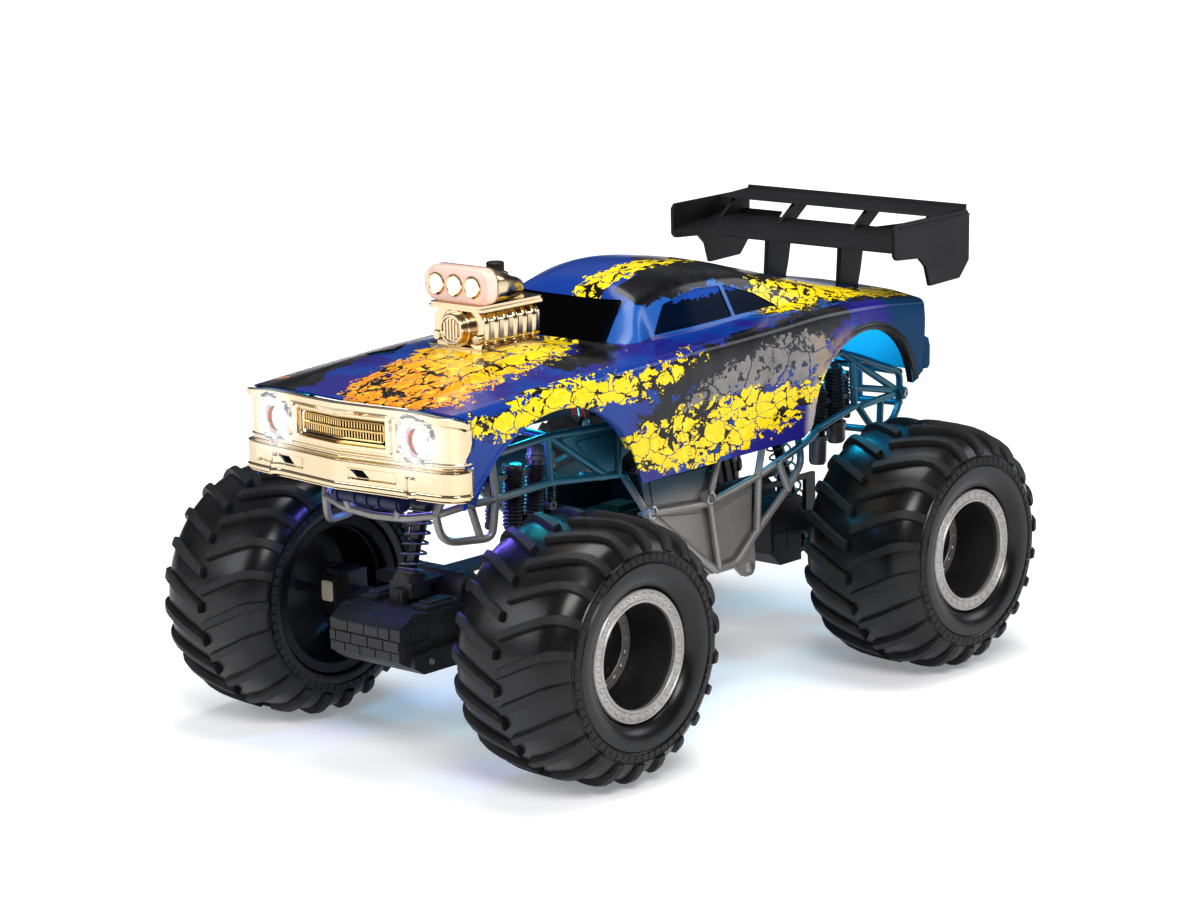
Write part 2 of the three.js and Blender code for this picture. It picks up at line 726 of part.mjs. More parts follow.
function rearCradle() {
  const x = REAR_SHOCK_FOOT[0];
  const saddle = block(x - 6, x + 6, -12.8, 12.8, REAR_ROLL_Z - 3, 74);
  const wedge = block(x - 6, x + 6, -9, 9, 70, 90);
  const seat = shockSeat(REAR_SHOCK_FOOT, REAR_SHOCK_TOP);
  const pin = rod([x - 12, 0, REAR_ROLL_Z], [x + 12, 0, REAR_ROLL_Z], 3, 12);
  const cheeks = both(block(x - 6, x + 4, 9.8, 12.8, 64, 107));
  const rails = both(block(x - 6, -98, 9.8, 12.8, 103.6, 107));
  const bridge = block(-108, -98, -12.8, 12.8, 103.6, 107);
  const tongue = block(-100, -78, -9, 9, 103.6, 107);
  return union(saddle, wedge.intersect(seat), pin, cheeks, rails, bridge, tongue);
}

// Front axle: beam, C hubs, gearcase block in front and roll ears
function frontHousing() {
  const beam = union(
    block(AXLE_X - 9, AXLE_X + 9, -70, 70, 72, 88),
    both(block(AXLE_X - 8, AXLE_X + 8, 66, 73, 62, 98)),
    both(block(AXLE_X - 8, AXLE_X + 8, 72, 92, 94, 98)),
    both(block(AXLE_X - 8, AXLE_X + 8, 72, 92, 62, 66)),
  );
  const caseOutline = [[150, 58], [205, 58], [222, 66], [222, 86], [212, 93], [150, 93]];
  const gearcase = plateY(caseOutline, -30, 30);
  const skid = plateY([[148, 66], [153, 57], [206, 57], [214, 62], [214, 70], [148, 72]], -34, 34);
  const ears = union(block(169.5, 173.4, -5, 5, 92, 102), block(190.6, 194.5, -5, 5, 92, 102));
  const pinBore = rod([160, 0, FRONT_ROLL_Z], [200, 0, FRONT_ROLL_Z], 3 + GAP, 12);
  const motorBay = rod([190, -22, 76], [190, 40, 76], 9 + GAP, 16);
  const pinRoom = block(173.4, 190.6, -14, 14, 93, 99);
  const kingpins = both(rod([AXLE_X, KINGPIN_Y, 50], [AXLE_X, KINGPIN_Y, 110], 2.5 + GAP, 12));
  return union(beam, gearcase, skid, ears).subtract(pinBore).subtract(motorBay)
    .subtract(kingpins).subtract(pinRoom);
}

function motorCan(x, y0, y1, z) {
  return union(rod([x, y0, z], [x, y1, z], 9, 16), rod([x, y0 - 3, z], [x, y0, z], 4, 12));
}

function knuckle() {
  const upright = block(AXLE_X - 6, AXLE_X + 6, KINGPIN_Y - 5.5, KINGPIN_Y + 8, 66.5, 93.5);
  const pins = rod([AXLE_X, KINGPIN_Y, 62.4], [AXLE_X, KINGPIN_Y, 97.6], 2.5, 12);
  const stub = rod([AXLE_X, KINGPIN_Y, AXLE_Z], [AXLE_X, WHEEL_Y + 8, AXLE_Z], 3, 12);
  const arm = block(AXLE_X - STEER_ARM - 4, AXLE_X - 5, KINGPIN_Y - 4, KINGPIN_Y + 3, 76, 80);
  const pinX = AXLE_X - STEER_ARM;
  const pin = rod([pinX, KINGPIN_Y - 1, 70], [pinX, KINGPIN_Y - 1, 78], 1.8, 10);
  return union(upright, pins, stub, arm, pin);
}

function tieRod() {
  const x = AXLE_X - STEER_ARM;
  const end = KINGPIN_Y - 1;
  const bar = block(x - 3, x + 3, -end, end, 71.2, 74.6);
  const eyes = both(block(x - 5.6, x + 5.6, end - 3.6, end + 3.6, 71.2, 74.6));
  const slots = both(block(x - 3.6, x + 3.6, end - 2.3, end + 2.3, 60, 90));
  return union(bar, eyes).subtract(slots);
}

// Rear axle: motor case ahead of the shaft, gear bulge beside the shock, roll ears behind
function rearHousing() {
  const caseOutline = [[-152, 57], [-130, 57], [-120, 66], [-120, 94], [-128, 101], [-152, 101]];
  const motorCase = plateY(caseOutline, -33, 33);
  const bulgeOutline = [[-187, 66], [-180, 57], [-145, 57], [-145, 101], [-180, 101], [-187, 94]];
  const bulge = plateY(bulgeOutline, -33, -17);
  const cavity = union(
    plateY([[-149.5, 59.5], [-131, 59.5], [-122.5, 67], [-122.5, 93], [-129, 98.5],
      [-149.5, 98.5]], -30.5, 30.5),
    plateY([[-184.5, 67], [-179, 59.5], [-149, 59.5], [-149, 98.8], [-180, 98.8],
      [-184.5, 93]], -30.5, -19.5),
    rod([-AXLE_X, -30.5, AXLE_Z], [-AXLE_X, -19.5, AXLE_Z], 19.6, 20),
  );
  const beam = rod([-AXLE_X, -74, AXLE_Z], [-AXLE_X, 74, AXLE_Z], 9, 12);
  const skid = block(-201, -145, -15, 15, 55, 58.5);
  const neck = block(-171, -150, -12, 12, 57, 76);
  const ears = union(block(-180.7, -176, -6, 6, 57, 71), block(-201, -193.6, -6, 6, 57, 71));
  const bore = rod([-AXLE_X, -90, AXLE_Z], [-AXLE_X, 90, AXLE_Z], 3.6, 12);
  const pinBore = rod([-200, 0, REAR_ROLL_Z], [-170, 0, REAR_ROLL_Z], 3 + GAP, 12);
  return union(motorCase, bulge, beam, skid, neck, ears)
    .subtract(cavity).subtract(bore).subtract(pinBore);
}

function gearOutline(teeth, radius, high, low, share) {
  const points = [];
  for (let tooth = 0; tooth < teeth; tooth += 1) {
    const middle = (tooth / teeth) * Math.PI * 2;
    const pitch = (Math.PI * 2) / teeth;
    const at = (offset, distance) => {
      const angle = middle + offset * pitch;
      points.push([distance * Math.cos(angle), distance * Math.sin(angle)]);
    };
    at(-share, radius - low);
    at(-share * 0.5, radius + high);
    at(share * 0.5, radius + high);
    at(share, radius - low);
  }
  return points;
}

const GEAR_RADIUS = (GEAR_TEETH * GEAR_MODULE) / 2;
const PINION_RADIUS = (PINION_TEETH * GEAR_MODULE) / 2;
const PINION_X = -AXLE_X + GEAR_RADIUS + PINION_RADIUS + 0.3;

function driveGear() {
  const outline = gearOutline(GEAR_TEETH, GEAR_RADIUS, 0.8, 1.1, 0.26);
  const wheel = plateY(outline.map(([x, z]) => [x - AXLE_X, z + AXLE_Z]), -27, -22);
  const hub = rod([-AXLE_X, -29, AXLE_Z], [-AXLE_X, -21, AXLE_Z], 6, 12);
  const bore = rod([-AXLE_X, -35, AXLE_Z], [-AXLE_X, -10, AXLE_Z], 3 + GAP, 12);
  return union(wheel, hub).subtract(bore);
}

function motorPinion() {
  const half = Math.PI / PINION_TEETH;
  const outline = gearOutline(PINION_TEETH, PINION_RADIUS, 0.7, 1.0, 0.24).map(([x, z]) => {
    return [x * Math.cos(half) - z * Math.sin(half), x * Math.sin(half) + z * Math.cos(half)];
  });
  const wheel = plateY(outline.map(([x, z]) => [x + PINION_X, z + AXLE_Z]), -28, -21);
  const shaft = rod([PINION_X, -28, AXLE_Z], [PINION_X, -12, AXLE_Z], 1.4, 8);
  return union(wheel, shaft);
}

function driveMotor() {
  const can = union(
    rod([PINION_X, -14, AXLE_Z], [PINION_X, 20, AXLE_Z], 9, 16),
    rod([PINION_X, 19, AXLE_Z], [PINION_X, 23, AXLE_Z], 4, 12),
  );
  return can.subtract(rod([PINION_X, -18, AXLE_Z], [PINION_X, -8, AXLE_Z], 1.4 + GAP, 8));
}

function rearShaft() {
  return rod([-AXLE_X, -WHEEL_Y - 8, AXLE_Z], [-AXLE_X, WHEEL_Y + 8, AXLE_Z], 3, 12);
}

const LUGS_PER_ROW = 22;
const LUG_SWEEP = 13;

// Two staggered rows of swept lugs, as one toothed ring lofted across the width
function treadBlock() {
  const row = [[0.4, 0, 74.5, 80], [31, 9.5, 70.5, 77], [46, LUG_SWEEP, 60.5, 62]];
  const right = row.map(([across, sweep, base, top]) => [-across, sweep, base, top, 0.5]);
  const left = row.map((station) => [...station, 0]);
  const rings = [...right.reverse(), ...left].map(([across, sweep, base, top, offset]) => {
    const points = [];
    for (let index = 0; index < LUGS_PER_ROW; index += 1) {
      const middle = ((index + offset) * 360) / LUGS_PER_ROW + sweep;
      for (const [turn, radius] of [[-4.5, base], [-1.9, top], [2.1, top]]) {
        const angle = THREE.MathUtils.degToRad(middle + turn);
        points.push([radius * Math.cos(angle), across, radius * Math.sin(angle)]);
      }
    }
    return points;
  });
  return loft(rings);
}

// Tyre: C section, open towards the rim
function tyre(x, handed) {
  const profile = [
    [0, -60], [50.9, -60], [50.9, -37.6], [62, -34], [62, 34], [39.7, 34.5],
    [39.7, 38.6], [54, 46.3], [54, 60], [0, 60],
  ];
  const hollow = turned(profile, [0, 0, 0], [0, 1, 0], 18);
  const round = treadBlock().subtract(hollow);
  const placed = handed > 0 ? round : round.mirror([0, 1, 0]);
  return placed.translate([x, handed * WHEEL_Y, AXLE_Z]);
}

// Rim: deep outer dish, hub disc, wide inner barrel
function rim(x, handed) {
  const profile = [
    [3 + GAP, 6], [3 + GAP, -3], [9, -3], [30, 2], [38, -3], [43, -41.2],
    [50.4, -41.2], [50.4, -38], [46, -34], [39.2, 20], [39.2, 38.2],
    [31.3, 38.2], [30.8, 6.5], [3 + GAP, 6],
  ];
  const barrel = turned(profile, [0, 0, 0], [0, 1, 0], 18);
  const placed = handed > 0 ? barrel : barrel.mirror([0, 1, 0]);
  return placed.translate([x, handed * WHEEL_Y, AXLE_Z]);
}

function beadlockRing(x, handed) {
  const profile = [[31.6, 38.2 + GAP], [39.1, 38.2 + GAP], [38.4, 41], [32.3, 41],
    [31.6, 38.2 + GAP]];
  const ring = turned(profile, [0, 0, 0], [0, 1, 0], 18);
  const placed = handed > 0 ? ring : ring.mirror([0, 1, 0]);
  return placed.translate([x, handed * WHEEL_Y, AXLE_Z]);
}

function addWheel(name, x, handed) {
  addPiece(`tyre_${name}`, tyre(x, handed), 'rubber');
  addPiece(`rim_${name}`, rim(x, handed), 'satin');
  addPiece(`beadlock_ring_${name}`, beadlockRing(x, handed), 'silver');
}

addPiece('body_shell', bodyShell(), 'paint', 0.2);
addPiece('window_insert', windowInsert(), 'glass');
addPiece('front_fascia', frontFascia(), 'gold');
addPiece('grille_insert', grilleInsert(), 'gold');
addPair('headlight', headlight(), 'lamp');
addPiece('blower_case', blowerCase(), 'gold');
addPiece('intake_scoop', intakeScoop(), 'gold');
addPiece('scoop_lens', scoopLens(), 'pink');
addPiece('scoop_knob', scoopKnob(), 'black');
addPiece('rear_wing', rearWing(), 'black');
addPair('side_frame', sideFrame(), 'frame');
addPair('side_plate', sidePlate(), 'frame');
addPiece('front_frame', frontFrame(), 'frame');
addPiece('rear_frame', rearFrame(), 'frame');
addPiece('nose_drum', noseDrum(), 'satin');
addPair('front_dummy_shock', frontDummyShocks(), 'satin');
addPair('rear_dummy_shock', rearDummyShocks(), 'satin');
addPiece('chassis_tub', chassisTub(), 'black');
addPiece('battery_door', batteryDoor(), 'black');
addPiece('battery_pack', batteryPack(), 'red');
addPiece('circuit_board', circuitBoard(), 'board');
addPiece('power_switch', powerSwitch(), 'black');
addPiece('front_shock_body', shockBody(FRONT_SHOCK_TOP, FRONT_SHOCK_FOOT, 181), 'steel');
addPiece('rear_shock_body', shockBody(REAR_SHOCK_TOP, REAR_SHOCK_FOOT, 186), 'steel');
addPiece('front_shock_shaft', shockShaft(FRONT_SHOCK_TOP, FRONT_SHOCK_FOOT), 'steel');
addPiece('rear_shock_shaft', shockShaft(REAR_SHOCK_TOP, REAR_SHOCK_FOOT), 'steel');
addPiece('front_spring', coilSpring(FRONT_SHOCK_TOP, FRONT_SHOCK_FOOT, 5), 'steel');
addPiece('rear_spring', coilSpring(REAR_SHOCK_TOP, REAR_SHOCK_FOOT, 7), 'steel');
addPiece('front_cradle', frontCradle(), 'black');
addPiece('rear_cradle', rearCradle(), 'black');
addPiece('front_axle_housing', frontHousing(), 'black');
addPiece('steering_motor', motorCan(190, -18, 20, 76), 'steel');
addPair('knuckle', knuckle(), 'nylon');
addPiece('tie_rod', tieRod(), 'black');
addPiece('rear_axle_housing', rearHousing(), 'black');
addPiece('rear_axle_shaft', rearShaft(), 'steel');
addPiece('drive_gear', driveGear(), 'nylon');
addPiece('motor_pinion', motorPinion(), 'steel');
addPiece('drive_motor', driveMotor(), 'steel');
addWheel('front_left', AXLE_X, 1);
addWheel('front_right', AXLE_X, -1);
addWheel('rear_left', -AXLE_X, 1);
addWheel('rear_right', -AXLE_X, -1);

export default truck;
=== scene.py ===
"""Looks of the radio-controlled monster truck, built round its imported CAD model.

Lengths are millimetres measured from the middle of the wheelbase, +X forward, +Y to the
truck's left and +Z up; Build.mesh() turns them into metres in the CAD model's frame.
"""
import json
import math

import bmesh
import bpy
import numpy as np
from mathutils import Matrix, Vector

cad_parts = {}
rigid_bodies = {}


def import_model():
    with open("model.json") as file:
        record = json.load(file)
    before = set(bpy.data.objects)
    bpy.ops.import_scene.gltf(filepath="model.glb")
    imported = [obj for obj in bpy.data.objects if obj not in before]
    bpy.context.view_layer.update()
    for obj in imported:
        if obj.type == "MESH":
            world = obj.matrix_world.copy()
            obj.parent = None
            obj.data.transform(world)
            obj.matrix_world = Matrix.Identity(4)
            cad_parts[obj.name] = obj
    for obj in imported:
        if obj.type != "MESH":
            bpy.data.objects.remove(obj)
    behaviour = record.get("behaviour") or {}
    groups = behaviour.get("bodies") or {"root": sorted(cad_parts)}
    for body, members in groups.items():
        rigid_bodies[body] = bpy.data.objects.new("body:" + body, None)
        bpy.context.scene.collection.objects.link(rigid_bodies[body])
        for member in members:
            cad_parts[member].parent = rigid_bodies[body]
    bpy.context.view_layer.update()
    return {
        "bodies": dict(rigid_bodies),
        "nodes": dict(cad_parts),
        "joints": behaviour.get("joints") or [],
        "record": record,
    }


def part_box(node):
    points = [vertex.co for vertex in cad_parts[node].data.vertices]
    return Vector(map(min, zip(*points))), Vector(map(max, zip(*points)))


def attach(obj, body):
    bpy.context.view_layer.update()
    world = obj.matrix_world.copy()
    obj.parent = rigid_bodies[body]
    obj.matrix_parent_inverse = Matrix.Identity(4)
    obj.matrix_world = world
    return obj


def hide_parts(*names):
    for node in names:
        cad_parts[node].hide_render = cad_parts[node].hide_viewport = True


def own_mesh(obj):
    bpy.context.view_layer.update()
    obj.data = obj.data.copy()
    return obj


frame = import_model()
MM = 0.001
X_WAY, Y_WAY, Z_WAY = (1, 0, 0), (0, 1, 0), (0, 0, 1)


def box_centre(node):
    """Middle of a CAD node's box, in metres."""
    low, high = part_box(node)
    return (low + high) / 2


FRONT_HUB = box_centre("rim_front_left")
REAR_HUB = box_centre("rim_rear_left")
SHIFT = (FRONT_HUB.x + REAR_HUB.x) / 2 / MM
AXLE_X = (FRONT_HUB.x - REAR_HUB.x) / 2 / MM
AXLE_Z = 80.0
WHEEL_Y = 124.5

# ------------------------------------------------------------------ geometry helpers


def unit(vector):
    """The direction of a vector, as length one."""
    vector = np.asarray(vector, float)
    return vector / np.linalg.norm(vector)


def across(way):
    """Two directions square to way, so that first, second, way are right-handed."""
    way = unit(way)
    reference = np.array([0, 0, 1.0]) if abs(way[2]) < 0.9 else np.array([1.0, 0, 0])
    first = unit(np.cross(reference, way))
    return first, np.cross(way, first)


def smooth_step(value):
    """Eases from 0 to 1 with level ends."""
    value = np.clip(value, 0, 1)
    return value * value * (3 - 2 * value)


def pchip(knots, values, at):
    """Smooth curve through the knots that never overshoots them."""
    knots, values, at = (np.asarray(a, float) for a in (knots, values, at))
    steps = np.diff(knots)
    slopes = np.diff(values) / steps
    tangents = np.zeros_like(values)
    tangents[0], tangents[-1] = slopes[0], slopes[-1]
    for k in range(1, len(knots) - 1):
        if slopes[k - 1] * slopes[k] > 0:
            first, second = 2 * steps[k] + steps[k - 1], steps[k] + 2 * steps[k - 1]
            total = first / slopes[k - 1] + second / slopes[k]
            tangents[k] = (first + second) / total
    at = np.clip(at, knots[0], knots[-1])
    k = np.clip(np.searchsorted(knots, at) - 1, 0, len(steps) - 1)
    t = (at - knots[k]) / steps[k]
    start = (1 + 2 * t) * (1 - t) ** 2 * values[k] + t * (1 - t) ** 2 * steps[k] * tangents[k]
    end = t * t * (3 - 2 * t) * values[k + 1] + t * t * (t - 1) * steps[k] * tangents[k + 1]
    return start + end


def rounded(path, fillet):
    """The path with each inner corner turned into a curve."""
    steps = 4
    path = [np.asarray(p, float) for p in path]
    if fillet <= 0 or len(path) < 3:
        return path
    points = [path[0]]
    for before, corner, after in zip(path, path[1:], path[2:]):
        back, on = before - corner, after - corner
        start = corner + unit(back) * min(fillet, np.linalg.norm(back) * 0.45)
        end = corner + unit(on) * min(fillet, np.linalg.norm(on) * 0.45)
        for step in range(steps + 1):
            t = step / steps
            points.append((1 - t) ** 2 * start + 2 * t * (1 - t) * corner + t * t * end)
    points.append(path[-1])
    return points


class Build:
    """Collects closed shapes into one mesh piece."""

    def __init__(self):
        self.verts = []
        self.faces = []
        self.looks = []

    def add(self, verts, faces, look=0):
        base = len(self.verts)
        self.verts.extend(tuple(float(c) for c in v) for v in verts)
        self.faces.extend(tuple(base + i for i in face) for face in faces)
        self.looks.extend([look] * len(faces))
        return self

    def sweep(self, path, ring, look=0, closed=False, up=None):
        """Pushes a flat ring of points along a path."""
        path = [np.asarray(p, float) for p in path]
        count, around = len(path), len(ring)
        verts, faces = [], []
        first = None
        for k, point in enumerate(path):
            ahead = path[(k + 1) % count] if closed or k + 1 < count else point
            behind = path[k - 1] if closed or k > 0 else point
            way = unit(ahead - behind)
            if up is not None:
                second = unit(np.asarray(up, float) - way * np.dot(up, way))
                first = np.cross(second, way)
            elif first is None:
                first, second = across(way)
            else:
                first = unit(first - way * np.dot(first, way))
                second = np.cross(way, first)
            verts += [point + first * a + second * b for a, b in ring]
        for k in range(count if closed else count - 1):
            here, there = k * around, ((k + 1) % count) * around
            for j in range(around):
                n = (j + 1) % around
                faces.append((here + j, here + n, there + n, there + j))
        if not closed:
            faces.append(tuple(range(around))[::-1])
            faces.append(tuple((count - 1) * around + j for j in range(around)))
        return self.add(verts, faces, look)

    def tube(self, path, radius, fillet=5.0, sides=14, look=0):
        turns = [2 * math.pi * j / sides for j in range(sides)]
        ring = [(radius * math.cos(a), radius * math.sin(a)) for a in turns]
        return self.sweep(rounded(path, fillet), ring, look)

    def lathe(self, profile, origin, way, sides=48, look=0, closed=False):
        """Turns (radius, distance along way) points round the axis."""
        first, second = across(way)
        way, origin = unit(way), np.asarray(origin, float)
        verts, starts = [], []
        for radius, along in profile:
            starts.append((len(verts), radius < 1e-6))
            for j in range(1 if radius < 1e-6 else sides):
                angle = 2 * math.pi * j / sides
                spoke = first * math.cos(angle) + second * math.sin(angle)
                verts.append(origin + way * along + spoke * radius)
        faces = []
        pairs = list(zip(starts, starts[1:] + starts[:1]))
        for (here, pole), (there, end_pole) in pairs if closed else pairs[:-1]:
            for j in range(sides):
                n = (j + 1) % sides
                if pole and not end_pole:
                    faces.append((here, there + n, there + j))
                elif end_pole and not pole:
                    faces.append((here + j, here + n, there))
                elif not pole:
                    faces.append((here + j, here + n, there + n, there + j))
        return self.add(verts, faces, look)

    def prism(self, outline, axis, low, high, look=0):
        """Pushes a flat outline along x, y or z. The outline's two numbers are the other axes."""
        order = {"x": (2, 0, 1), "y": (0, 2, 1), "z": (0, 1, 2)}[axis]
        verts = []
        for level in (low, high):
            for a, b in outline:
                entry = (a, b, level)
                verts.append(tuple(entry[order[c]] for c in range(3)))
        count = len(outline)
        faces = [tuple(range(count))[::-1], tuple(range(count, 2 * count))]
        for j in range(count):
            n = (j + 1) % count
            faces.append((j, n, count + n, count + j))
        return self.add(verts, faces, look)

    def block(self, x0, x1, y0, y1, z0, z1, look=0):
        return self.prism([(x0, y0), (x1, y0), (x1, y1), (x0, y1)], "z", z0, z1, look)

    def grid(self, rows, look=0, wrap=False):
        """Sheet over rows of points."""
        count = len(rows[0])
        verts = [p for row in rows for p in row]
        faces = []
        for r in range(len(rows) - 1):
            for c in range(count if wrap else count - 1):
                a, b = r * count + c, r * count + (c + 1) % count
                faces.append((a, b, b + count, a + count))
        return self.add(verts, faces, look)

    def bolt(self, at, way, radius, height, look=0, sides=20):
        """Round screw head with a socket."""
        way = unit(way)
        foot = np.asarray(at, float) - way * 0.4
        rim = [(radius, 0), (radius, 0.4 + height * 0.7), (radius * 0.86, 0.4 + height)]
        self.lathe(rim + [(radius * 0.56, 0.4 + height)], foot, way, sides, look)
        well = [(radius * 0.56, 0.4 + height), (radius * 0.5, 0.4 + height * 0.25)]
        self.lathe(well + [(0, 0.4 + height * 0.25)], foot, way, sides, look)
        return self

    def mirrored(self):
        """Adds the mirror image across the truck's middle plane."""
        verts = [(x, -y, z) for x, y, z in self.verts]
        faces = [face[::-1] for face in self.faces]
        base = len(self.verts)
        self.verts += verts
        self.faces += [tuple(base + i for i in face) for face in faces]
        self.looks += list(self.looks)
        return self

    def flipped(self):
        """The same shapes on the truck's other side."""
        other = Build()
        other.verts = [(x, -y, z) for x, y, z in self.verts]
        other.faces = [face[::-1] for face in self.faces]
        other.looks = list(self.looks)
        return other

    def mesh(self, name, looks, outward=True):
        data = bpy.data.meshes.new(name)
        points = [((x + SHIFT) * MM, y * MM, z * MM) for x, y, z in self.verts]
        data.from_pydata(points, [], self.faces)
        for look in looks:
            data.materials.append(LOOKS[look])
        data.polygons.foreach_set("material_index", self.looks)
        if outward:
            face_outward(data)
        data.shade_smooth()
        return data

    def finish(self, name, body, looks, nodes=(), slot=None, bevel=0.0, angle=38):
        data = self.mesh(name, looks)
        piece = bpy.data.objects.new(name, data)
        bpy.context.scene.collection.objects.link(piece)
        if bevel:
            edge = piece.modifiers.new("edges", "BEVEL")
            edge.width = bevel * MM
            edge.segments = 2
            edge.limit_method = "ANGLE"
            edge.angle_limit = math.radians(angle)
            edge.use_clamp_overlap = True
            normal = piece.modifiers.new("normals", "WEIGHTED_NORMAL")
            normal.keep_sharp = True
        else:
            data.set_sharp_from_angle(angle=math.radians(angle))
        return settle(piece, body, nodes)


def face_outward(data):
    """Turns every face of a closed mesh outwards."""
    work = bmesh.new()
    work.from_mesh(data)
    bmesh.ops.recalc_face_normals(work, faces=work.faces)
    work.to_mesh(data)
    work.free()


def settle(piece, body, nodes=()):
    """Says what the piece rides and which CAD parts it replaces."""
    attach(piece, body)
    if nodes:
        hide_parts(*nodes)
    return piece


# ------------------------------------------------------------------ material helpers


class Nodes:
    """Short names for the shader nodes a material is made of."""

    def __init__(self, name):
        self.material = bpy.data.materials.new(name)
        self.material.use_nodes = True
        self.tree = self.material.node_tree
        self.shader = next(n for n in self.tree.nodes if n.type == "BSDF_PRINCIPLED")
        self.coords = self.tree.nodes.new("ShaderNodeTexCoord").outputs["Object"]

    def node(self, kind, **settings):
        made = self.tree.nodes.new(kind)
        for key, value in settings.items():
            setattr(made, key, value)
        return made

    def put(self, socket, value):
        if isinstance(value, bpy.types.NodeSocket):
            self.tree.links.new(value, socket)
        elif hasattr(socket.default_value, "__len__") and not hasattr(value, "__len__"):
            socket.default_value = (value,) * len(socket.default_value)
        elif socket.type == "RGBA":
            socket.default_value = (*value[:3], 1.0)
        else:
            socket.default_value = value

    def math(self, operation, a, b=0.0, c=0.0, clamp=False):
        made = self.node("ShaderNodeMath", operation=operation, use_clamp=clamp)
        for socket, value in zip(made.inputs, (a, b, c)):
            self.put(socket, value)
        return made.outputs[0]

    def times(self, a, b, **more):
        return self.math("MULTIPLY", a, b, **more)

    def scaled(self, a, factor, plus):
        return self.math("MULTIPLY_ADD", a, factor, plus)

    def over(self, a, limit):
        return self.math("GREATER_THAN", a, limit)

    def under(self, a, limit):
        return self.math("LESS_THAN", a, limit)

    def most(self, a, b):
        return self.math("MAXIMUM", a, b)

    def vector(self, operation, a, b=(0, 0, 0), scale=None):
        made = self.node("ShaderNodeVectorMath", operation=operation)
        self.put(made.inputs[0], a)
        self.put(made.inputs[1], b)
        if scale is not None:
            self.put(made.inputs["Scale"], scale)
        single = operation in ("LENGTH", "DOT_PRODUCT", "DISTANCE")
        return made.outputs["Value" if single else "Vector"]

    def split(self, vector):
        made = self.node("ShaderNodeSeparateXYZ")
        self.put(made.inputs[0], vector)
        return made.outputs[0], made.outputs[1], made.outputs[2]

    def join(self, x=0.0, y=0.0, z=0.0):
        made = self.node("ShaderNodeCombineXYZ")
        for socket, value in zip(made.inputs, (x, y, z)):
            self.put(socket, value)
        return made.outputs[0]

    def noise(self, scale, detail=2.0, roughness=0.5, at=None, colour=False):
        made = self.node("ShaderNodeTexNoise")
        self.put(made.inputs["Vector"], at or self.coords)
        made.inputs["Scale"].default_value = scale
        made.inputs["Detail"].default_value = detail
        made.inputs["Roughness"].default_value = roughness
        return made.outputs["Color" if colour else "Fac"]

    def cells(self, scale, feature="F1", at=None, out="Distance"):
        made = self.node("ShaderNodeTexVoronoi", feature=feature)
        self.put(made.inputs["Vector"], at or self.coords)
        made.inputs["Scale"].default_value = scale
        return made.outputs[out]

    def span(self, value, low, high, to_low=0.0, to_high=1.0, smooth=False):
        """value between low and high, carried over to to_low and to_high."""
        made = self.node("ShaderNodeMapRange", clamp=True)
        made.interpolation_type = "SMOOTHSTEP" if smooth else "LINEAR"
        for socket, entry in zip(made.inputs, (value, low, high, to_low, to_high)):
            self.put(socket, entry)
        return made.outputs[0]

    def mix(self, share, a, b):
        made = self.node("ShaderNodeMix", data_type="RGBA")
        self.put(made.inputs[0], share)
        self.put(made.inputs[6], a)
        self.put(made.inputs[7], b)
        return made.outputs[2]

    def bump(self, height, strength, distance):
        made = self.node("ShaderNodeBump")
        made.inputs["Strength"].default_value = strength
        made.inputs["Distance"].default_value = distance * MM
        self.put(made.inputs["Height"], height)
        self.put(self.shader.inputs["Normal"], made.outputs[0])
        return made

    def set(self, **values):
        for key, value in values.items():
            self.put(self.shader.inputs[key.replace("_", " ")], value)
        return self

    def place(self):
        """Object position in millimetres from the wheelbase middle, as x, side distance, z, y."""
        moved = self.vector("MULTIPLY_ADD", self.coords, (1 / MM,) * 3)
        self.put(moved.node.inputs[2], (-SHIFT, 0, 0))
        x, y, z = self.split(moved)
        return x, self.math("ABSOLUTE", y), z, y


def grainy(name, colour, other, roughness, spread, grain, bump, metallic=0.0, specular=0.5, **extra):
    """Moulded or cast surface: patchy colour, uneven gloss and fine grain."""
    look = Nodes(name)
    patch = look.noise(34.0, 4.0, 0.62)
    fine = look.noise(grain, 2.0, 0.5)
    look.set(Base_Color=look.mix(look.span(patch, 0.34, 0.66), colour, other))
    dull = look.scaled(look.noise(90.0, 3.0, 0.6), spread, roughness - spread / 2)
    look.set(Roughness=look.scaled(fine, spread * 0.4, dull), Metallic=metallic,
             Specular_IOR_Level=specular)
    if bump:
        look.bump(fine, bump, 0.05)
    return look.set(**extra)


def capsule(look, point, start, end, first, last):
    """How far a point lies inside a rounded bar whose radius runs from first to last."""
    line = (end[0] - start[0], end[1] - start[1], 0.0)
    length = line[0] ** 2 + line[1] ** 2
    offset = look.vector("SUBTRACT", point, (start[0], start[1], 0.0))
    share = look.vector("DOT_PRODUCT", offset, line)
    share = look.times(share, 1 / length, clamp=True)
    nearest = look.vector("SCALE", line, scale=share)
    gap = look.vector("DISTANCE", offset, nearest)
    return look.math("SUBTRACT", look.scaled(share, last - first, first), gap)


def band(look, point, path):
    """Union of the bars along [(a, b, radius), ...]."""
    inside = None
    for (a0, b0, r0), (a1, b1, r1) in zip(path, path[1:]):
        bar = capsule(look, point, (a0, b0), (a1, b1), r0, r1)
        inside = bar if inside is None else look.most(inside, bar)
    return inside


# ------------------------------------------------------------------ printed body paint

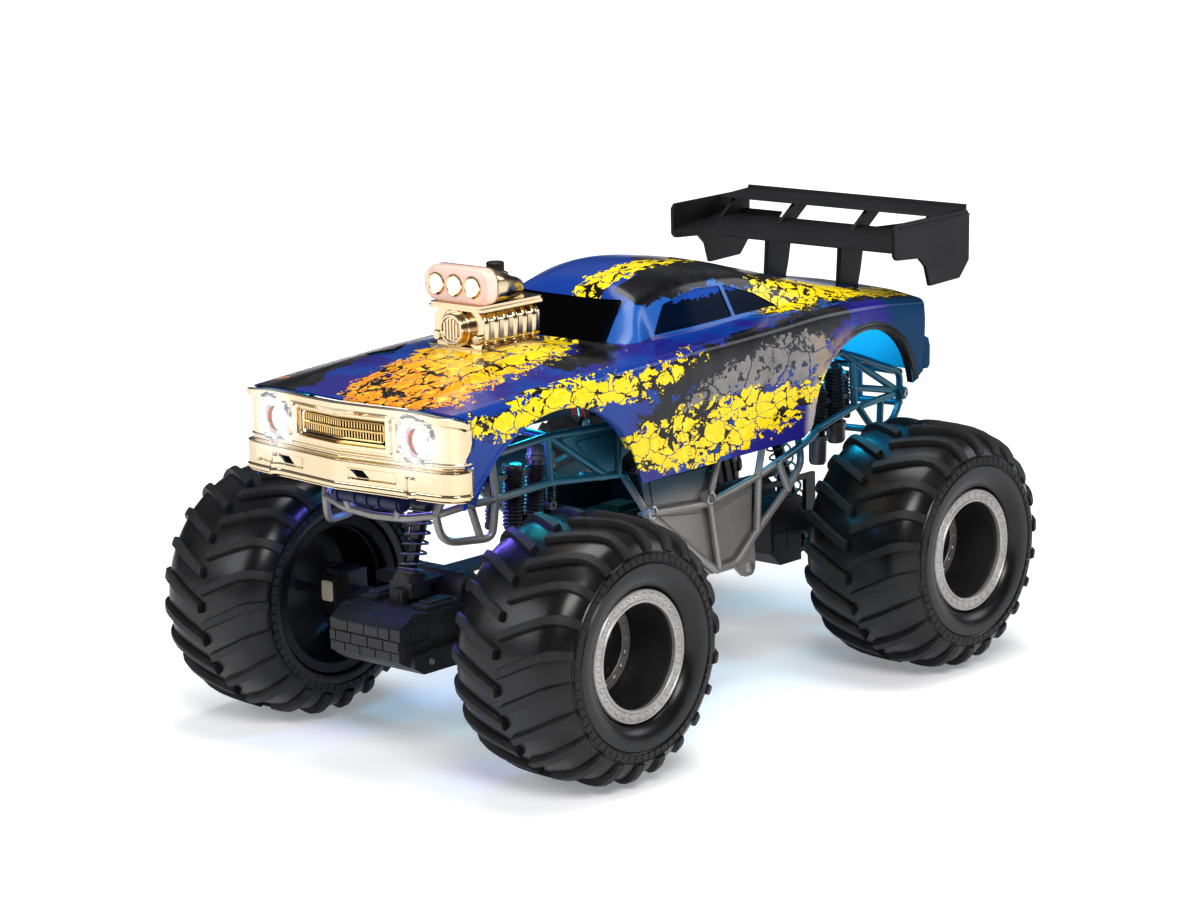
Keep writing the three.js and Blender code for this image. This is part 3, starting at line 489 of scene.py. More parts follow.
BLUE = (0.005, 0.045, 0.27)
BRIGHT_BLUE = (0.016, 0.125, 0.42)
VIOLET = (0.020, 0.017, 0.20)
TEAL_PRINT_AND_LED_GLOW = (0.001, 0.045, 0.12)
INK = (0.003, 0.003, 0.005)
CHARCOAL = (0.016, 0.016, 0.019)
ASH = (0.25, 0.235, 0.225)
YELLOW = (0.90, 0.66, 0.003)
AMBER = (0.88, 0.30, 0.006)
HIGHLIGHT_BRONZE = (0.30, 0.19, 0.09)
HIGHLIGHT_PALE_BRONZE = (0.50, 0.46, 0.42)

# where the shell's side face, the cabin and the hood begin
FLANK_Y, CABIN_FOOT_Z, COWL_X = 81.0, 236.0, 56.0
# wheel arches: centre along X, centre height, radius
FRONT_ARCH = (142.0, 137.0, 76.2)
REAR_ARCH = (-152.7, 163.4, 53.8)
# painted bands: (first axis, second axis, half width) along each middle line
SKIRT_BAND = [(74, 174, 13), (20, 176, 17), (-30, 178, 16), (-72, 184, 11), (-104, 189, 5)]
BELT_BAND = [(214, 213, 5), (165, 216, 9), (100, 217, 9.5), (52, 217, 8), (12, 226, 2)]
SPLASH = [(208, 32, 40), (150, 22, 40), (100, 16, 33), (58, 14, 16)]
ROOF_BAND = [(40, 16, 11), (4, 20, 9), (-30, 23, 6), (-60, 24, 2)]
DECK_BAND = [(-80, 60, 6), (-104, 62, 12), (-140, 58, 14), (-172, 62, 10), (-214, 62, 13)]
SPLASH_SIDE = [(208, -88, 9), (150, -96, 8)]
DARK_SIDE = [(46, 211, 10), (2, 216, 16), (-50, 219, 17), (-100, 227, 12), (-126, 233, 6)]
DARK_SKIRT = [(64, 193, 5), (36, 192, 13), (4, 196, 13)]
ASH_SIDE = [(28, 193, 4), (-16, 203, 11), (-58, 209, 15), (-98, 210, 14)]
DARK_ROOF = [(-6, 40, 15), (-40, 24, 26), (-84, 20, 32)]
DARK_HOOD_FAR = [(216, -70, 30), (150, -70, 28), (100, -74, 26)]
DARK_COWL = [(120, 62, 10), (84, 66, 13), (56, 44, 16)]
VIOLET_REAR = [(-104, 240, 12), (-150, 236, 14), (-186, 226, 16)]
VIOLET_SKIRT = [(-24, 160, 9), (-92, 166, 12)]


def livery():
    """Printed shell: blue and violet ground, charcoal fields and flaking yellow bands, with painted teal
    LED light towards the tail and a painted reflection down the front of the rear arch.
    """
    look = Nodes("printed_shell")
    x, side, z, y = look.place()
    broad = look.noise(16.0, 3.0, 0.55, colour=True)
    fine = look.noise(95.0, 3.0, 0.6, colour=True)
    drift = look.vector("SUBTRACT", broad, (0.5, 0.5, 0.5))
    jitter = look.vector("SUBTRACT", fine, (0.5, 0.5, 0.5))
    warp = look.vector("ADD", look.vector("SCALE", drift, scale=22.0),
                       look.vector("SCALE", jitter, scale=9.0))
    on_side_plain = look.join(x, z)
    on_side = look.vector("ADD", on_side_plain, warp)
    on_top = look.vector("ADD", look.join(x, y), warp)
    on_top_side = look.vector("ADD", look.join(x, side), warp)
    upright = look.over(side, FLANK_Y)
    high = look.over(z, CABIN_FOOT_Z)
    above = look.math("SUBTRACT", 1.0, upright)

    # flakes: ragged cells with dark cracks between them
    torn = look.vector("ADD", look.coords, look.vector("SCALE", jitter, scale=0.010))
    torn_x, torn_y, torn_z = look.split(torn)
    along = look.scaled(torn_x, 0.60, look.times(torn_z, 0.40))
    leaning = look.scaled(torn_x, -0.28, look.times(torn_z, 1.15))
    stretched = look.join(along, torn_y, leaning)
    crack = look.cells(92.0, "DISTANCE_TO_EDGE", stretched)
    small = look.cells(300.0, "DISTANCE_TO_EDGE", stretched)
    tone = look.split(look.cells(250.0, "F1", stretched, "Color"))[0]
    grit = look.math("SUBTRACT", look.noise(150.0, 4.0, 0.7), 0.5)
    ragged = look.scaled(look.math("SUBTRACT", tone, 0.5), 9.0,
                       look.times(grit, 30.0))
    worn = look.noise(60.0, 4.0, 0.7)
    gap = look.times(look.span(worn, 0.50, 0.68), 0.16)
    whole = look.over(crack, look.math("ADD", gap, 0.022))
    whole = look.times(whole, look.over(small,
                      look.span(worn, 0.55, 0.72, 0.0, 0.14)))
    holes = look.under(look.noise(95.0, 3.0, 0.6, stretched), 0.635)
    whole = look.times(whole, holes)

    def edged(inside, rough=1.0, over=None):
        level = look.scaled(ragged, rough, inside)
        share = look.over(level, 0.0)
        return share if over is None else look.times(share, over)

    # ground colours
    ground = look.mix(look.span(look.noise(26.0, 3.0, 0.6), 0.45, 0.55), BLUE, VIOLET)
    ground = look.mix(look.times(upright, look.span(x, 60.0, 90.0)), ground, BLUE)
    ground = look.mix(edged(band(look, on_side, VIOLET_SKIRT), 0.6, upright), ground, VIOLET)
    ground = look.mix(edged(band(look, on_side, VIOLET_REAR), 0.8), ground, VIOLET)
    # teal-blue towards the tail: partly the print's own colour, partly painted teal light from the LEDs
    # under the shell
    rear = look.math("SUBTRACT", -150.0, look.scaled(ragged, 0.9, x))
    ground = look.mix(look.over(rear, 24.0), ground, TEAL_PRINT_AND_LED_GLOW)
    cabin_blue = look.times(high, look.over(side, 44.0))
    ground = look.mix(look.times(cabin_blue, 0.85), ground, BRIGHT_BLUE)
    roof = look.times(high, look.under(side, 46.0))
    ground = look.mix(roof, ground, BLUE)
    # charcoal fields
    dark = look.mix(look.span(look.noise(40.0, 4.0, 0.65), 0.4, 0.6), INK, CHARCOAL)
    field = edged(band(look, on_side, DARK_SIDE), 0.8, upright)
    field = look.most(field, edged(band(look, on_side, DARK_SKIRT), 0.8, upright))
    eave = look.scaled(ragged, 0.35, look.scaled(x, 0.09, z))
    eave = look.over(eave, look.span(x, -40.0, -100.0, 257.0, 236.0))
    eave = look.times(eave, look.times(high, look.under(x, 30.0)))
    for edge in (look.over(y, 33.0), look.under(y, -44.0)):
        field = look.most(field, look.times(eave, edge))
    field = look.most(field, edged(band(look, on_top, DARK_ROOF), 0.6, roof))
    low_hood = look.times(above, look.over(x, COWL_X))
    field = look.most(field, edged(band(look, on_top, DARK_HOOD_FAR), 0.6, low_hood))
    field = look.most(field, edged(band(look, on_top, DARK_COWL), 0.9, low_hood))
    sail = look.times(above, look.under(x, -60.0))
    sail_field = look.math("ADD", band(look, on_top_side, DECK_BAND), 7.0)
    field = look.most(field, edged(sail_field, 1.2, sail))
    round_arch = look.vector("DISTANCE", on_side_plain, (REAR_ARCH[0], REAR_ARCH[1], 0.0))
    lip = look.under(look.scaled(grit, 4.0, round_arch), REAR_ARCH[2] + 5.2)
    lip = look.times(lip, look.under(x, -134.0))
    field = look.most(field, look.times(lip, upright))
    paint = look.mix(field, ground, dark)
    # ash-grey distressed area with ink specks
    ash_and_painted_glint = look.mix(look.span(look.noise(60.0, 4.0, 0.65), 0.35, 0.65), ASH, (0.17, 0.165, 0.165))
    # the grey turns brown towards the rear arch: a painted reflection on the front of the arch
    ash_and_painted_glint = look.mix(look.span(x, -88.0, -116.0), ash_and_painted_glint, (0.34, 0.25, 0.15))
    specks = look.under(look.noise(150.0, 3.0, 0.6), 0.58)
    bare = edged(band(look, on_side, ASH_SIDE), 0.9, upright)
    scratch = look.over(look.cells(38.0, "DISTANCE_TO_EDGE", stretched), 0.02)
    bare = look.times(bare, look.times(specks, scratch))
    paint = look.mix(bare, paint, ash_and_painted_glint)
    # painted highlight: a pale brown-gold reflection down the front of the rear arch, in patches
    arch_highlight = look.span(round_arch, 66.0, 58.0, smooth=True)
    arch_highlight = look.times(arch_highlight, look.span(x, -140.0, -122.0))
    highlight_patches = look.times(upright, look.span(worn, 0.36, 0.5, 0.25, 0.85))
    highlight_bronze = look.mix(look.span(z, 210.0, 176.0), HIGHLIGHT_BRONZE, HIGHLIGHT_PALE_BRONZE)
    paint = look.mix(look.times(arch_highlight, highlight_patches), paint, highlight_bronze)
    # yellow bands
    bands = edged(band(look, on_side, SKIRT_BAND), 0.8, upright)
    bands = look.most(bands, edged(band(look, on_side, BELT_BAND), 0.65, upright))
    hood_top = look.times(low_hood, look.under(z, 240.0))
    splash = edged(band(look, on_top, SPLASH), 0.9, hood_top)
    splash = look.most(splash, edged(band(look, on_top, SPLASH_SIDE), 0.8, hood_top))
    bands = look.most(bands, splash)
    bands = look.most(bands, edged(band(look, on_top, ROOF_BAND), 0.6, roof))
    deck = look.times(sail, look.over(z, 226.0))
    deck = look.times(deck, look.over(x, -214.0))
    bands = look.most(bands, edged(band(look, on_top_side, DECK_BAND), 0.9, deck))
    ink = look.mix(look.times(bands, look.span(worn, 0.38, 0.5)), paint, INK)
    warm = look.times(hood_top, look.span(look.scaled(ragged, 2.0, x), 110.0, 190.0))
    yellow = look.mix(warm, YELLOW, AMBER)
    yellow = look.mix(look.span(look.noise(180.0, 2.0, 0.5), 0.5, 0.8), yellow, (0.95, 0.78, 0.05))
    paint = look.mix(look.times(bands, whole), ink, yellow)
    gloss = look.scaled(look.noise(70.0, 3.0, 0.6), 0.10, 0.20)
    coat = look.span(x, -150.0, -178.0, 0.22, 0.04)
    shine = look.span(x, -150.0, -178.0, 0.3, 0.08)
    look.set(Base_Color=paint, Roughness=gloss, Coat_Weight=coat, Coat_Roughness=0.1, IOR=1.45,
             Specular_IOR_Level=shine)
    look.bump(look.noise(18.0, 2.0, 0.5), 0.12, 0.5)
    return look.material


# ------------------------------------------------------------------ plain materials


# name, two colours, roughness and its spread, grain scale, bump, metallic, specular level
GRAINY = {
    "black": ("black_plastic", (0.006, 0.006, 0.007), (0.012, 0.012, 0.013), 0.44, 0.16, 1400, 0.28, 0.0,
              0.4),
    "wing": ("wing_plastic", (0.005, 0.005, 0.006), (0.010, 0.010, 0.011), 0.48, 0.14, 1800, 0.35, 0.0,
             0.32),
    "axle": ("axle_plastic", (0.012, 0.012, 0.013), (0.026, 0.026, 0.028), 0.40, 0.16, 1100, 0.3, 0.0,
             0.4),
    "drum": ("drum_plastic", (0.005, 0.009, 0.045), (0.008, 0.014, 0.065), 0.38, 0.14, 1100, 0.2),
    "steel": ("dull_steel", (0.30, 0.30, 0.31), (0.42, 0.42, 0.43), 0.34, 0.16, 700, 0.2, 1.0),
    "shock": ("black_shock", (0.035, 0.035, 0.04), (0.065, 0.065, 0.072), 0.24, 0.12, 900, 0.15, 0.6),
    "sleeve": ("grey_sleeve", (0.11, 0.11, 0.115), (0.17, 0.17, 0.175), 0.34, 0.14, 900, 0.15, 0.6),
    "ring": ("ring_silver", (0.33, 0.318, 0.312), (0.42, 0.405, 0.40), 0.38, 0.14, 1200, 0.2, 0.5),
    "red": ("wire_red", (0.50, 0.010, 0.008), (0.62, 0.02, 0.012), 0.35, 0.1, 900, 0.1),
    "white": ("wire_white", (0.62, 0.62, 0.60), (0.74, 0.74, 0.72), 0.40, 0.1, 900, 0.1),
    "board": ("circuit_mask", (0.003, 0.030, 0.012), (0.005, 0.045, 0.020), 0.4, 0.2, 300, 0.3),
    "wrap": ("battery_wrap", (0.32, 0.012, 0.01), (0.25, 0.01, 0.01), 0.3, 0.1, 600, 0.1),
}


def make_looks():
    """Every material by its short name."""
    looks = {"livery": livery()}

    inside = Nodes("shell_inside")
    x = inside.place()[0]
    patch = inside.noise(34.0, 4.0, 0.62)
    tone_and_led_glow = inside.mix(patch, (0.020, 0.030, 0.045), (0.030, 0.045, 0.065))
    # painted LED light: the inside turns teal towards the tail and dark blue towards the nose, where the
    # lamps under the shell shine on it
    tone_and_led_glow = inside.mix(inside.span(x, -112.0, -136.0, smooth=True), tone_and_led_glow, (0.010, 0.20, 0.30))
    tone_and_led_glow = inside.mix(inside.span(x, 96.0, 130.0, smooth=True), tone_and_led_glow, (0.008, 0.020, 0.075))
    inside.set(Base_Color=tone_and_led_glow, Roughness=inside.scaled(patch, 0.2, 0.35))
    looks["inside"] = inside.material

    for key, entry in GRAINY.items():
        looks[key] = grainy(*entry).material
    natural = grainy("natural_nylon", (0.60, 0.54, 0.40), (0.68, 0.62, 0.50), 0.42, 0.14, 500, 0.2,
                     Subsurface_Weight=0.15, Subsurface_Scale=0.004)
    looks["nylon"] = natural.material

    glass = Nodes("dark_glazing")
    _, side, z, _ = glass.place()
    tint = glass.mix(glass.span(side, 40.0, 54.0), (0.0015, 0.0015, 0.002), (0.001, 0.008, 0.026))
    fleck = glass.scaled(glass.noise(130.0, 4.0, 0.65), 16.0, z)
    fleck = glass.over(fleck, 262.4)
    fleck = glass.times(fleck, glass.over(side, 46.0))
    tint = glass.mix(fleck, tint, (0.012, 0.075, 0.36))
    glass.set(Base_Color=tint, Roughness=glass.scaled(glass.noise(60.0, 3.0), 0.10, 0.16),
              Specular_IOR_Level=0.04)
    looks["glass"] = glass.material

    looks["gold"] = chrome("pale_gold_chrome", False)
    looks["gold_lit"] = chrome("pale_gold_chrome_lit", True)
    looks["amber_chrome"] = chrome("deep_gold_chrome", False, (0.62, 0.45, 0.21))

    looks["frame"] = frame_paint("frame_grey")
    looks["side_plate"] = frame_paint("side_plate_grey", plate=True)

    looks["carcass"] = tyre_rubber("tyre_carcass", (0.0045, 0.0045, 0.005), 0.30, 0.16, 0.08)
    looks["lug"] = tyre_rubber("tyre_lug", (0.009, 0.009, 0.0095), 0.58, 0.16, 0.35)
    rim = Nodes("rim_satin")
    side = rim.place()[1]
    patch = rim.noise(34.0, 4.0, 0.62)
    satin_and_painted_shade = rim.mix(rim.span(patch, 0.34, 0.66), (0.026, 0.025, 0.026), (0.042, 0.040, 0.040))
    # painted shade: the rim's inner barrel, away from its face, darkens to near black
    satin_and_painted_shade = rim.mix(rim.span(side, 118.0, 98.0), satin_and_painted_shade, (0.005, 0.005, 0.006))
    rim.set(Base_Color=satin_and_painted_shade, Roughness=rim.scaled(rim.noise(90.0, 3.0, 0.6), 0.12, 0.30),
            Metallic=0.3, Specular_IOR_Level=0.4)
    rim.bump(rim.noise(1300.0, 2.0, 0.5), 0.15, 0.05)
    looks["rim"] = rim.material

    looks["lamp_glow"] = glowing("headlamp_glow", (0.86, 0.92, 1.0), (0.84, 0.91, 1.0), 3.4)
    looks["lamp_red"] = glowing("headlamp_red", (0.55, 0.06, 0.03), (1.0, 0.12, 0.05), 0.45)
    looks["lamp_brown"] = glowing("headlamp_shade", (0.20, 0.13, 0.10), (0.9, 0.6, 0.5), 0.16)
    looks["bulb"] = glowing("scoop_bulb", (1.0, 0.80, 0.74), (1.0, 0.72, 0.64), 1.5)
    looks["tail"] = glowing("tail_lamp", (0.30, 0.006, 0.006), (0.9, 0.02, 0.01), 0.12)

    pink = Nodes("pink_lens")
    haze = pink.noise(120.0, 3.0, 0.6)
    pink.set(Base_Color=pink.mix(haze, (0.97, 0.86, 0.81), (0.94, 0.78, 0.72)), Roughness=0.1,
             Transmission_Weight=0.6, IOR=1.4, Emission_Strength=0.10)
    pink.put(pink.shader.inputs["Emission Color"], (1.0, 0.66, 0.58))
    pink.bump(haze, 0.05, 0.2)
    looks["pink"] = pink.material

    return looks


def chrome(name, lit, colour=(0.66, 0.55, 0.385)):
    """Bright plating with faint ripples; the lit one has a painted glow of the headlamps softly round
    each of them.
    """
    look = Nodes(name)
    ripple = look.noise(26.0, 3.0, 0.55)
    deep = tuple(c * s for c, s in zip(colour, (0.97, 0.90, 0.78)))
    look.set(Base_Color=look.mix(look.span(ripple, 0.35, 0.65), colour, deep), Metallic=1.0,
             Roughness=look.scaled(look.noise(220.0, 3.0, 0.6), 0.10, 0.09))
    look.bump(ripple, 0.18, 0.35)
    if lit:
        x, side, z, y = look.place()
        # painted light: a soft glow of the headlamps on the plating round each lamp
        spot = look.vector("DISTANCE", look.join(side, z), (59.0, 205.3, 0.0))
        glow = look.math("POWER", look.span(spot, 34.0, 9.0), 2.0)
        look.put(look.shader.inputs["Emission Color"], (0.72, 0.84, 1.0))
        look.put(look.shader.inputs["Emission Strength"], look.times(glow, 0.55))
    return look.material


def frame_paint(name, plate=False):
    """Silver-grey metallic paint, with painted teal LED light on it near the lamps under the shell."""
    look = Nodes(name)
    x, side, z, y = look.place()
    patch = look.noise(30.0, 4.0, 0.6)
    flake = look.cells(3800.0, "F1", None, "Color")
    grey = look.mix(look.span(patch, 0.35, 0.65), (0.225, 0.212, 0.20), (0.285, 0.268, 0.255))
    grey = look.mix(look.times(look.split(flake)[0], 0.25), grey, (0.42, 0.40, 0.38))
    drift = look.scaled(look.noise(12.0, 2.0), 16.0, -8.0)
    height = look.math("ADD", z, drift)
    teal = (0.006, 0.105, 0.165)
    if plate:
        # painted LED light: the side plate turns teal towards its top
        share = look.span(height, 124.0, 148.0, smooth=True)
        grey = look.mix(look.times(share, 0.93), grey, (0.006, 0.045, 0.075))
    else:
        # painted LED light: the tubes turn teal high up near the front lamps and the rear lamps
        front = look.span(height, 138.0, 158.0, smooth=True)
        front = look.times(front, look.span(x, 190.0, 130.0))
        back = look.span(height, 122.0, 146.0, smooth=True)
        back = look.times(back, look.span(x, -66.0, -100.0))
        share = look.most(look.times(front, look.span(x, -20.0, 50.0)), back)
        grey = look.mix(look.times(share, 0.94), grey, teal)
    dull = look.scaled(look.noise(140.0, 3.0, 0.6), 0.16, 0.30)
    look.set(Base_Color=grey, Roughness=dull, Metallic=0.45)
    look.bump(look.noise(1100.0, 2.0), 0.2, 0.05)
    return look.material


def tyre_rubber(name, colour, roughness, spread, bump):
    """Moulded rubber with scuffs, dusty patches and a fine pebble."""
    look = Nodes(name)
    scuff = look.noise(70.0, 5.0, 0.65)
    dusty = tuple(c * 1.9 + 0.002 for c in colour)
    look.set(Base_Color=look.mix(look.span(scuff, 0.46, 0.72), colour, dusty),
             Roughness=look.scaled(scuff, spread, roughness - spread / 2),
             Specular_IOR_Level=0.42)
    look.bump(look.noise(900.0, 3.0, 0.6), bump, 0.06)
    return look.material


def glowing(name, colour, light, strength):
    """Lit lamp glass with a faint mottle."""
    look = Nodes(name)
    mottle = look.noise(260.0, 3.0, 0.6)
    darker = tuple(c * 0.85 for c in colour)
    look.set(Base_Color=look.mix(mottle, colour, darker), Roughness=0.25)
    look.put(look.shader.inputs["Emission Color"], light)
    power = look.scaled(mottle, strength * 0.2, strength)
    look.put(look.shader.inputs["Emission Strength"], power)
    return look.material


LOOKS = make_looks()

# ------------------------------------------------------------------ printed shell

HULL_X = [-216, -165, -110, -60, 60, 110, 150, 214]
HULL_SHOULDER = [228.5, 233, 234.5, 232.5, 229, 227.5, 225.5, 222]
HULL_CROWN = [233, 238, 240, 236, 233, 237.0, 235.5, 224.5]
HULL_HALF = [87.2, 89, 89, 89, 89, 89, 89, 87.7]
CABIN_X = [-190, -143, -95, -60, -14, 24, 44, 61]
ROOF_EDGE = [66, 60, 54, 51, 50, 47.5, 54, 55]
ROOF_EDGE_Z = [232, 240, 252, 261.5, 263.5, 257.5, 243, 229.5]
ROOF_CROWN_Z = [236, 247.5, 260, 268.5, 273.5, 267.5, 250, 231.5]
# corners of the lower edge, and where the front arch ends at the nose
ARCH_FOOT = (77.5, 177.6)
NOSE_CUT = (211.9, 167.3)
SKIRT_FRONT = (68.0, 155.2)
SKIRT_REAR = (-88.0, 157.0)
TAIL_CUT = (-205.4, 174.0)
TAIL_SLOPE = 7 / 11.6
SHELL_REAR, SHELL_FRONT = -216.0, 214.0
SHELL_WALL = 1.2
PANE_DEPTH = 0.55


def shell_bottom(x):
    """Height of the shell's lower edge along its side."""
    cx, cz, radius = FRONT_ARCH
    if x >= NOSE_CUT[0]:
        return NOSE_CUT[1]
    if x > ARCH_FOOT[0]:
        return cz + math.sqrt(max(0.0, radius**2 - (x - cx) ** 2))
    if x > SKIRT_FRONT[0]:
        share = (x - SKIRT_FRONT[0]) / (ARCH_FOOT[0] - SKIRT_FRONT[0])
        return SKIRT_FRONT[1] + (ARCH_FOOT[1] - SKIRT_FRONT[1]) * share
    if x > SKIRT_REAR[0]:
        share = (SKIRT_FRONT[0] - x) / (SKIRT_FRONT[0] - SKIRT_REAR[0])
        return SKIRT_FRONT[1] + (SKIRT_REAR[1] - SKIRT_FRONT[1]) * share
    cx, cz, radius = REAR_ARCH
    if x > cx + radius:
        return SKIRT_REAR[1] + (SKIRT_REAR[0] - x) * (cz - SKIRT_REAR[1]) / (SKIRT_REAR[0] - cx - radius)
    if x > TAIL_CUT[0]:
        return cz + math.sqrt(max(0.0, radius**2 - (x - cx) ** 2))
    return TAIL_CUT[1] + (TAIL_CUT[0] - x) * TAIL_SLOPE


def hull_at(x):
    """Half width, shoulder height and crown height of the hull at one station."""
    half = float(pchip(HULL_X, HULL_HALF, x))
    return half, float(pchip(HULL_X, HULL_SHOULDER, x)), float(pchip(HULL_X, HULL_CROWN, x))


def side_y(x, z):
    """Half width of the shell's side at one point."""
    half, shoulder, _ = hull_at(x)
    knots = [140, 186, shoulder - 13, shoulder - 4]
    return float(pchip(knots, [half - 2.9, half - 1.8, half, half - 0.7], z))


def smooth_max(a, b, reach):
    """The larger of two heights, blended where they are close."""
    share = np.clip(0.5 + 0.5 * (a - b) / reach, 0, 1)
    return b * (1 - share) + a * share + reach * share * (1 - share)


def top_z(x, y):
    """Height of the hood, cabin or deck at one point."""
    half, shoulder, crown = hull_at(x)
    y = np.abs(y)
    knots = [0, 22, half - 30, half - 6]
    deck = pchip(knots, [crown + 0.4, crown, (shoulder + crown) / 2 + 1, shoulder], y)
    if x > 56:
        width = 41 + (x - 56) * 0.075
        raised = smooth_step((width + 2.5 - y) / 5.0)
        fade = smooth_step((x - 56) / 16) * smooth_step((212 - x) / 30)
        ridge = 0.8 * np.clip(1 - y / 9, 0, 1) * smooth_step((x - 150) / 30)
        deck = deck + 1.7 * raised * fade + ridge * fade
    if CABIN_X[0] < x < CABIN_X[-1] + 6:
        at = min(x, CABIN_X[-1])
        edge = float(pchip(CABIN_X, ROOF_EDGE, at))
        low = float(pchip(CABIN_X, ROOF_EDGE_Z, at))
        crest = float(pchip(CABIN_X, ROOF_CROWN_Z, at))
        foot = min(72.0, edge + 14)
        sink = max(0.0, x - CABIN_X[-1]) * 2
        knots = [0, 20, edge - 6, edge + 1.5, foot - 2, foot + 6]
        values = [crest, crest - 0.6, low + 0.42 * (crest - low), low, min(233, low - 0.5), 210]
        deck = smooth_max(pchip(knots, values, y) - sink, deck, 2.4)
    return deck


def nose_plan(y):
    """How far forward the nose reaches at one half width."""
    knots = [0, 40, 83, 87, 87.5]
    return pchip(knots, [237.5, 233, 228, 222, 214.3], np.abs(y))


def shell_row(x):
    """Section of the shell from its left lower edge over the top to the right one."""
    half, shoulder, _ = hull_at(x)
    start, side_top = shell_bottom(x), shoulder - 4
    points = []
    for k in range(16):
        z = start + (side_top - start) * (k / 15) ** 1.35
        points.append((x, side_y(x, z), z))
    edge_y = side_y(x, side_top)
    for k in range(1, 7):
        turn = math.radians(15 * k)
        points.append((x, half - 6 + (edge_y - half + 6) * math.cos(turn), side_top + 4 * math.sin(turn)))
    at = float(np.clip(x, CABIN_X[0], CABIN_X[-1]))
    edge = float(pchip(CABIN_X, ROOF_EDGE, at))
    foot = min(72.0, edge + 14) + 4
    outer = np.linspace(half - 6, foot, 7)[1:]
    middle = np.linspace(foot, edge - 8, 24)[1:]
    inner = np.linspace(edge - 8, 0, 15)[1:]
    ys = np.concatenate([outer, middle, inner])
    zs = top_z(x, ys)
    points += [(x, float(b), float(c)) for b, c in zip(ys, zs)]
    return points + [(a, -b, c) for a, b, c in points[-2::-1]]


def shell_stations():
    """Stations along X, closer together round the arches and the screen."""
    stations = set(np.arange(SHELL_REAR, SHELL_FRONT + 0.1, 3.0).round(2))
    for (cx, _, radius), first, last in ((FRONT_ARCH, 23.4, 147.8), (REAR_ARCH, 0, 168.6)):
        for angle in np.linspace(first, last, 44):
            stations.add(round(cx + radius * math.cos(math.radians(angle)), 2))
    stations |= {SHELL_FRONT, SKIRT_FRONT[0], SKIRT_REAR[0]}
    stations |= set(np.arange(20, 64, 1.5).round(2))
    kept = []
    for x in sorted(stations):
        if not kept or x - kept[-1] > 0.6:
            kept.append(x)
    return kept


def push_nose(point):
    """Carries the hood forward into the nose's V."""
    x, y, z = point
    if x < 165:
        return point
    reach = max(0.0, float(nose_plan(y)) - 3.4 - SHELL_FRONT)
    share = float(smooth_step((x - 165) / (SHELL_FRONT - 165)))
    return (x + reach * share, y, z - 0.075 * reach * share)


def sheet_object(name, build, looks, thickness, outward=True):
    """A closed shell grown inwards from a sheet."""
    data = build.mesh(name, looks, outward=False)
    piece = bpy.data.objects.new(name, data)
    bpy.context.scene.collection.objects.link(piece)
    solid = piece.modifiers.new("wall", "SOLIDIFY")
    solid.thickness = thickness * MM
    solid.offset = -1.0 if outward else 1.0
    solid.use_even_offset = False
    if len(looks) > 1:
        solid.material_offset = 1
    return piece


def apply_modifiers(piece):
    """Puts the result of the piece's modifiers into its mesh."""
    graph = bpy.context.evaluated_depsgraph_get()
    made = bpy.data.meshes.new_from_object(piece.evaluated_get(graph))
    piece.modifiers.clear()
    piece.data = made
    return piece


def cut(piece, build):
    """Takes closed shapes out of a piece."""
    tool = bpy.data.objects.new("cutter", build.mesh("cutter", []))
    bpy.context.scene.collection.objects.link(tool)
    change = piece.modifiers.new("cut", "BOOLEAN")
    change.operation = "DIFFERENCE"
    change.solver = "EXACT"
    change.object = tool
    apply_modifiers(piece)
    bpy.data.objects.remove(tool)
    return piece


SIDE_WINDOWS = [
    [(23, 236.5), (-49, 238.5), (-43.6, 258.4), (-20, 259.4), (9, 253.6)],
    [(-52, 238.7), (-91, 240.0), (-73, 250.0), (-46.6, 258.6)],
]
SCREEN = [(-50, 235.8), (50, 235.8), (43, 258.5), (-43, 258.5)]
HOOD_VENT = [(135, -43), (160, -29), (167, -43), (150, -64)]
VENT_PAN = (128, 172, -68, -25)


def rounded_outline(outline, fillet, steps=4):
    """A closed outline with every corner rounded."""
    loop = [np.array(p, float) for p in outline]
    points = []
    for before, corner, after in zip(loop[-1:] + loop[:-1], loop, loop[1:] + loop[:1]):
        start = corner + unit(before - corner) * fillet
        end = corner + unit(after - corner) * fillet
        for step in range(steps + 1):
            t = step / steps
            points.append(tuple((1 - t) ** 2 * start + 2 * t * (1 - t) * corner + t * t * end))
    return points


def on_side(side, inner, outer):
    """Low and high Y of a span on the left, side +1, or on the right, side -1."""
    return sorted((side * inner, side * outer))


def rectangle(a0, a1, b0, b1, fillet=0.0, steps=4):
    """Outline of a rectangle between two limits each way."""
    corners = [(a0, b0), (a1, b0), (a1, b1), (a0, b1)]
    return rounded_outline(corners, fillet, steps) if fillet else corners


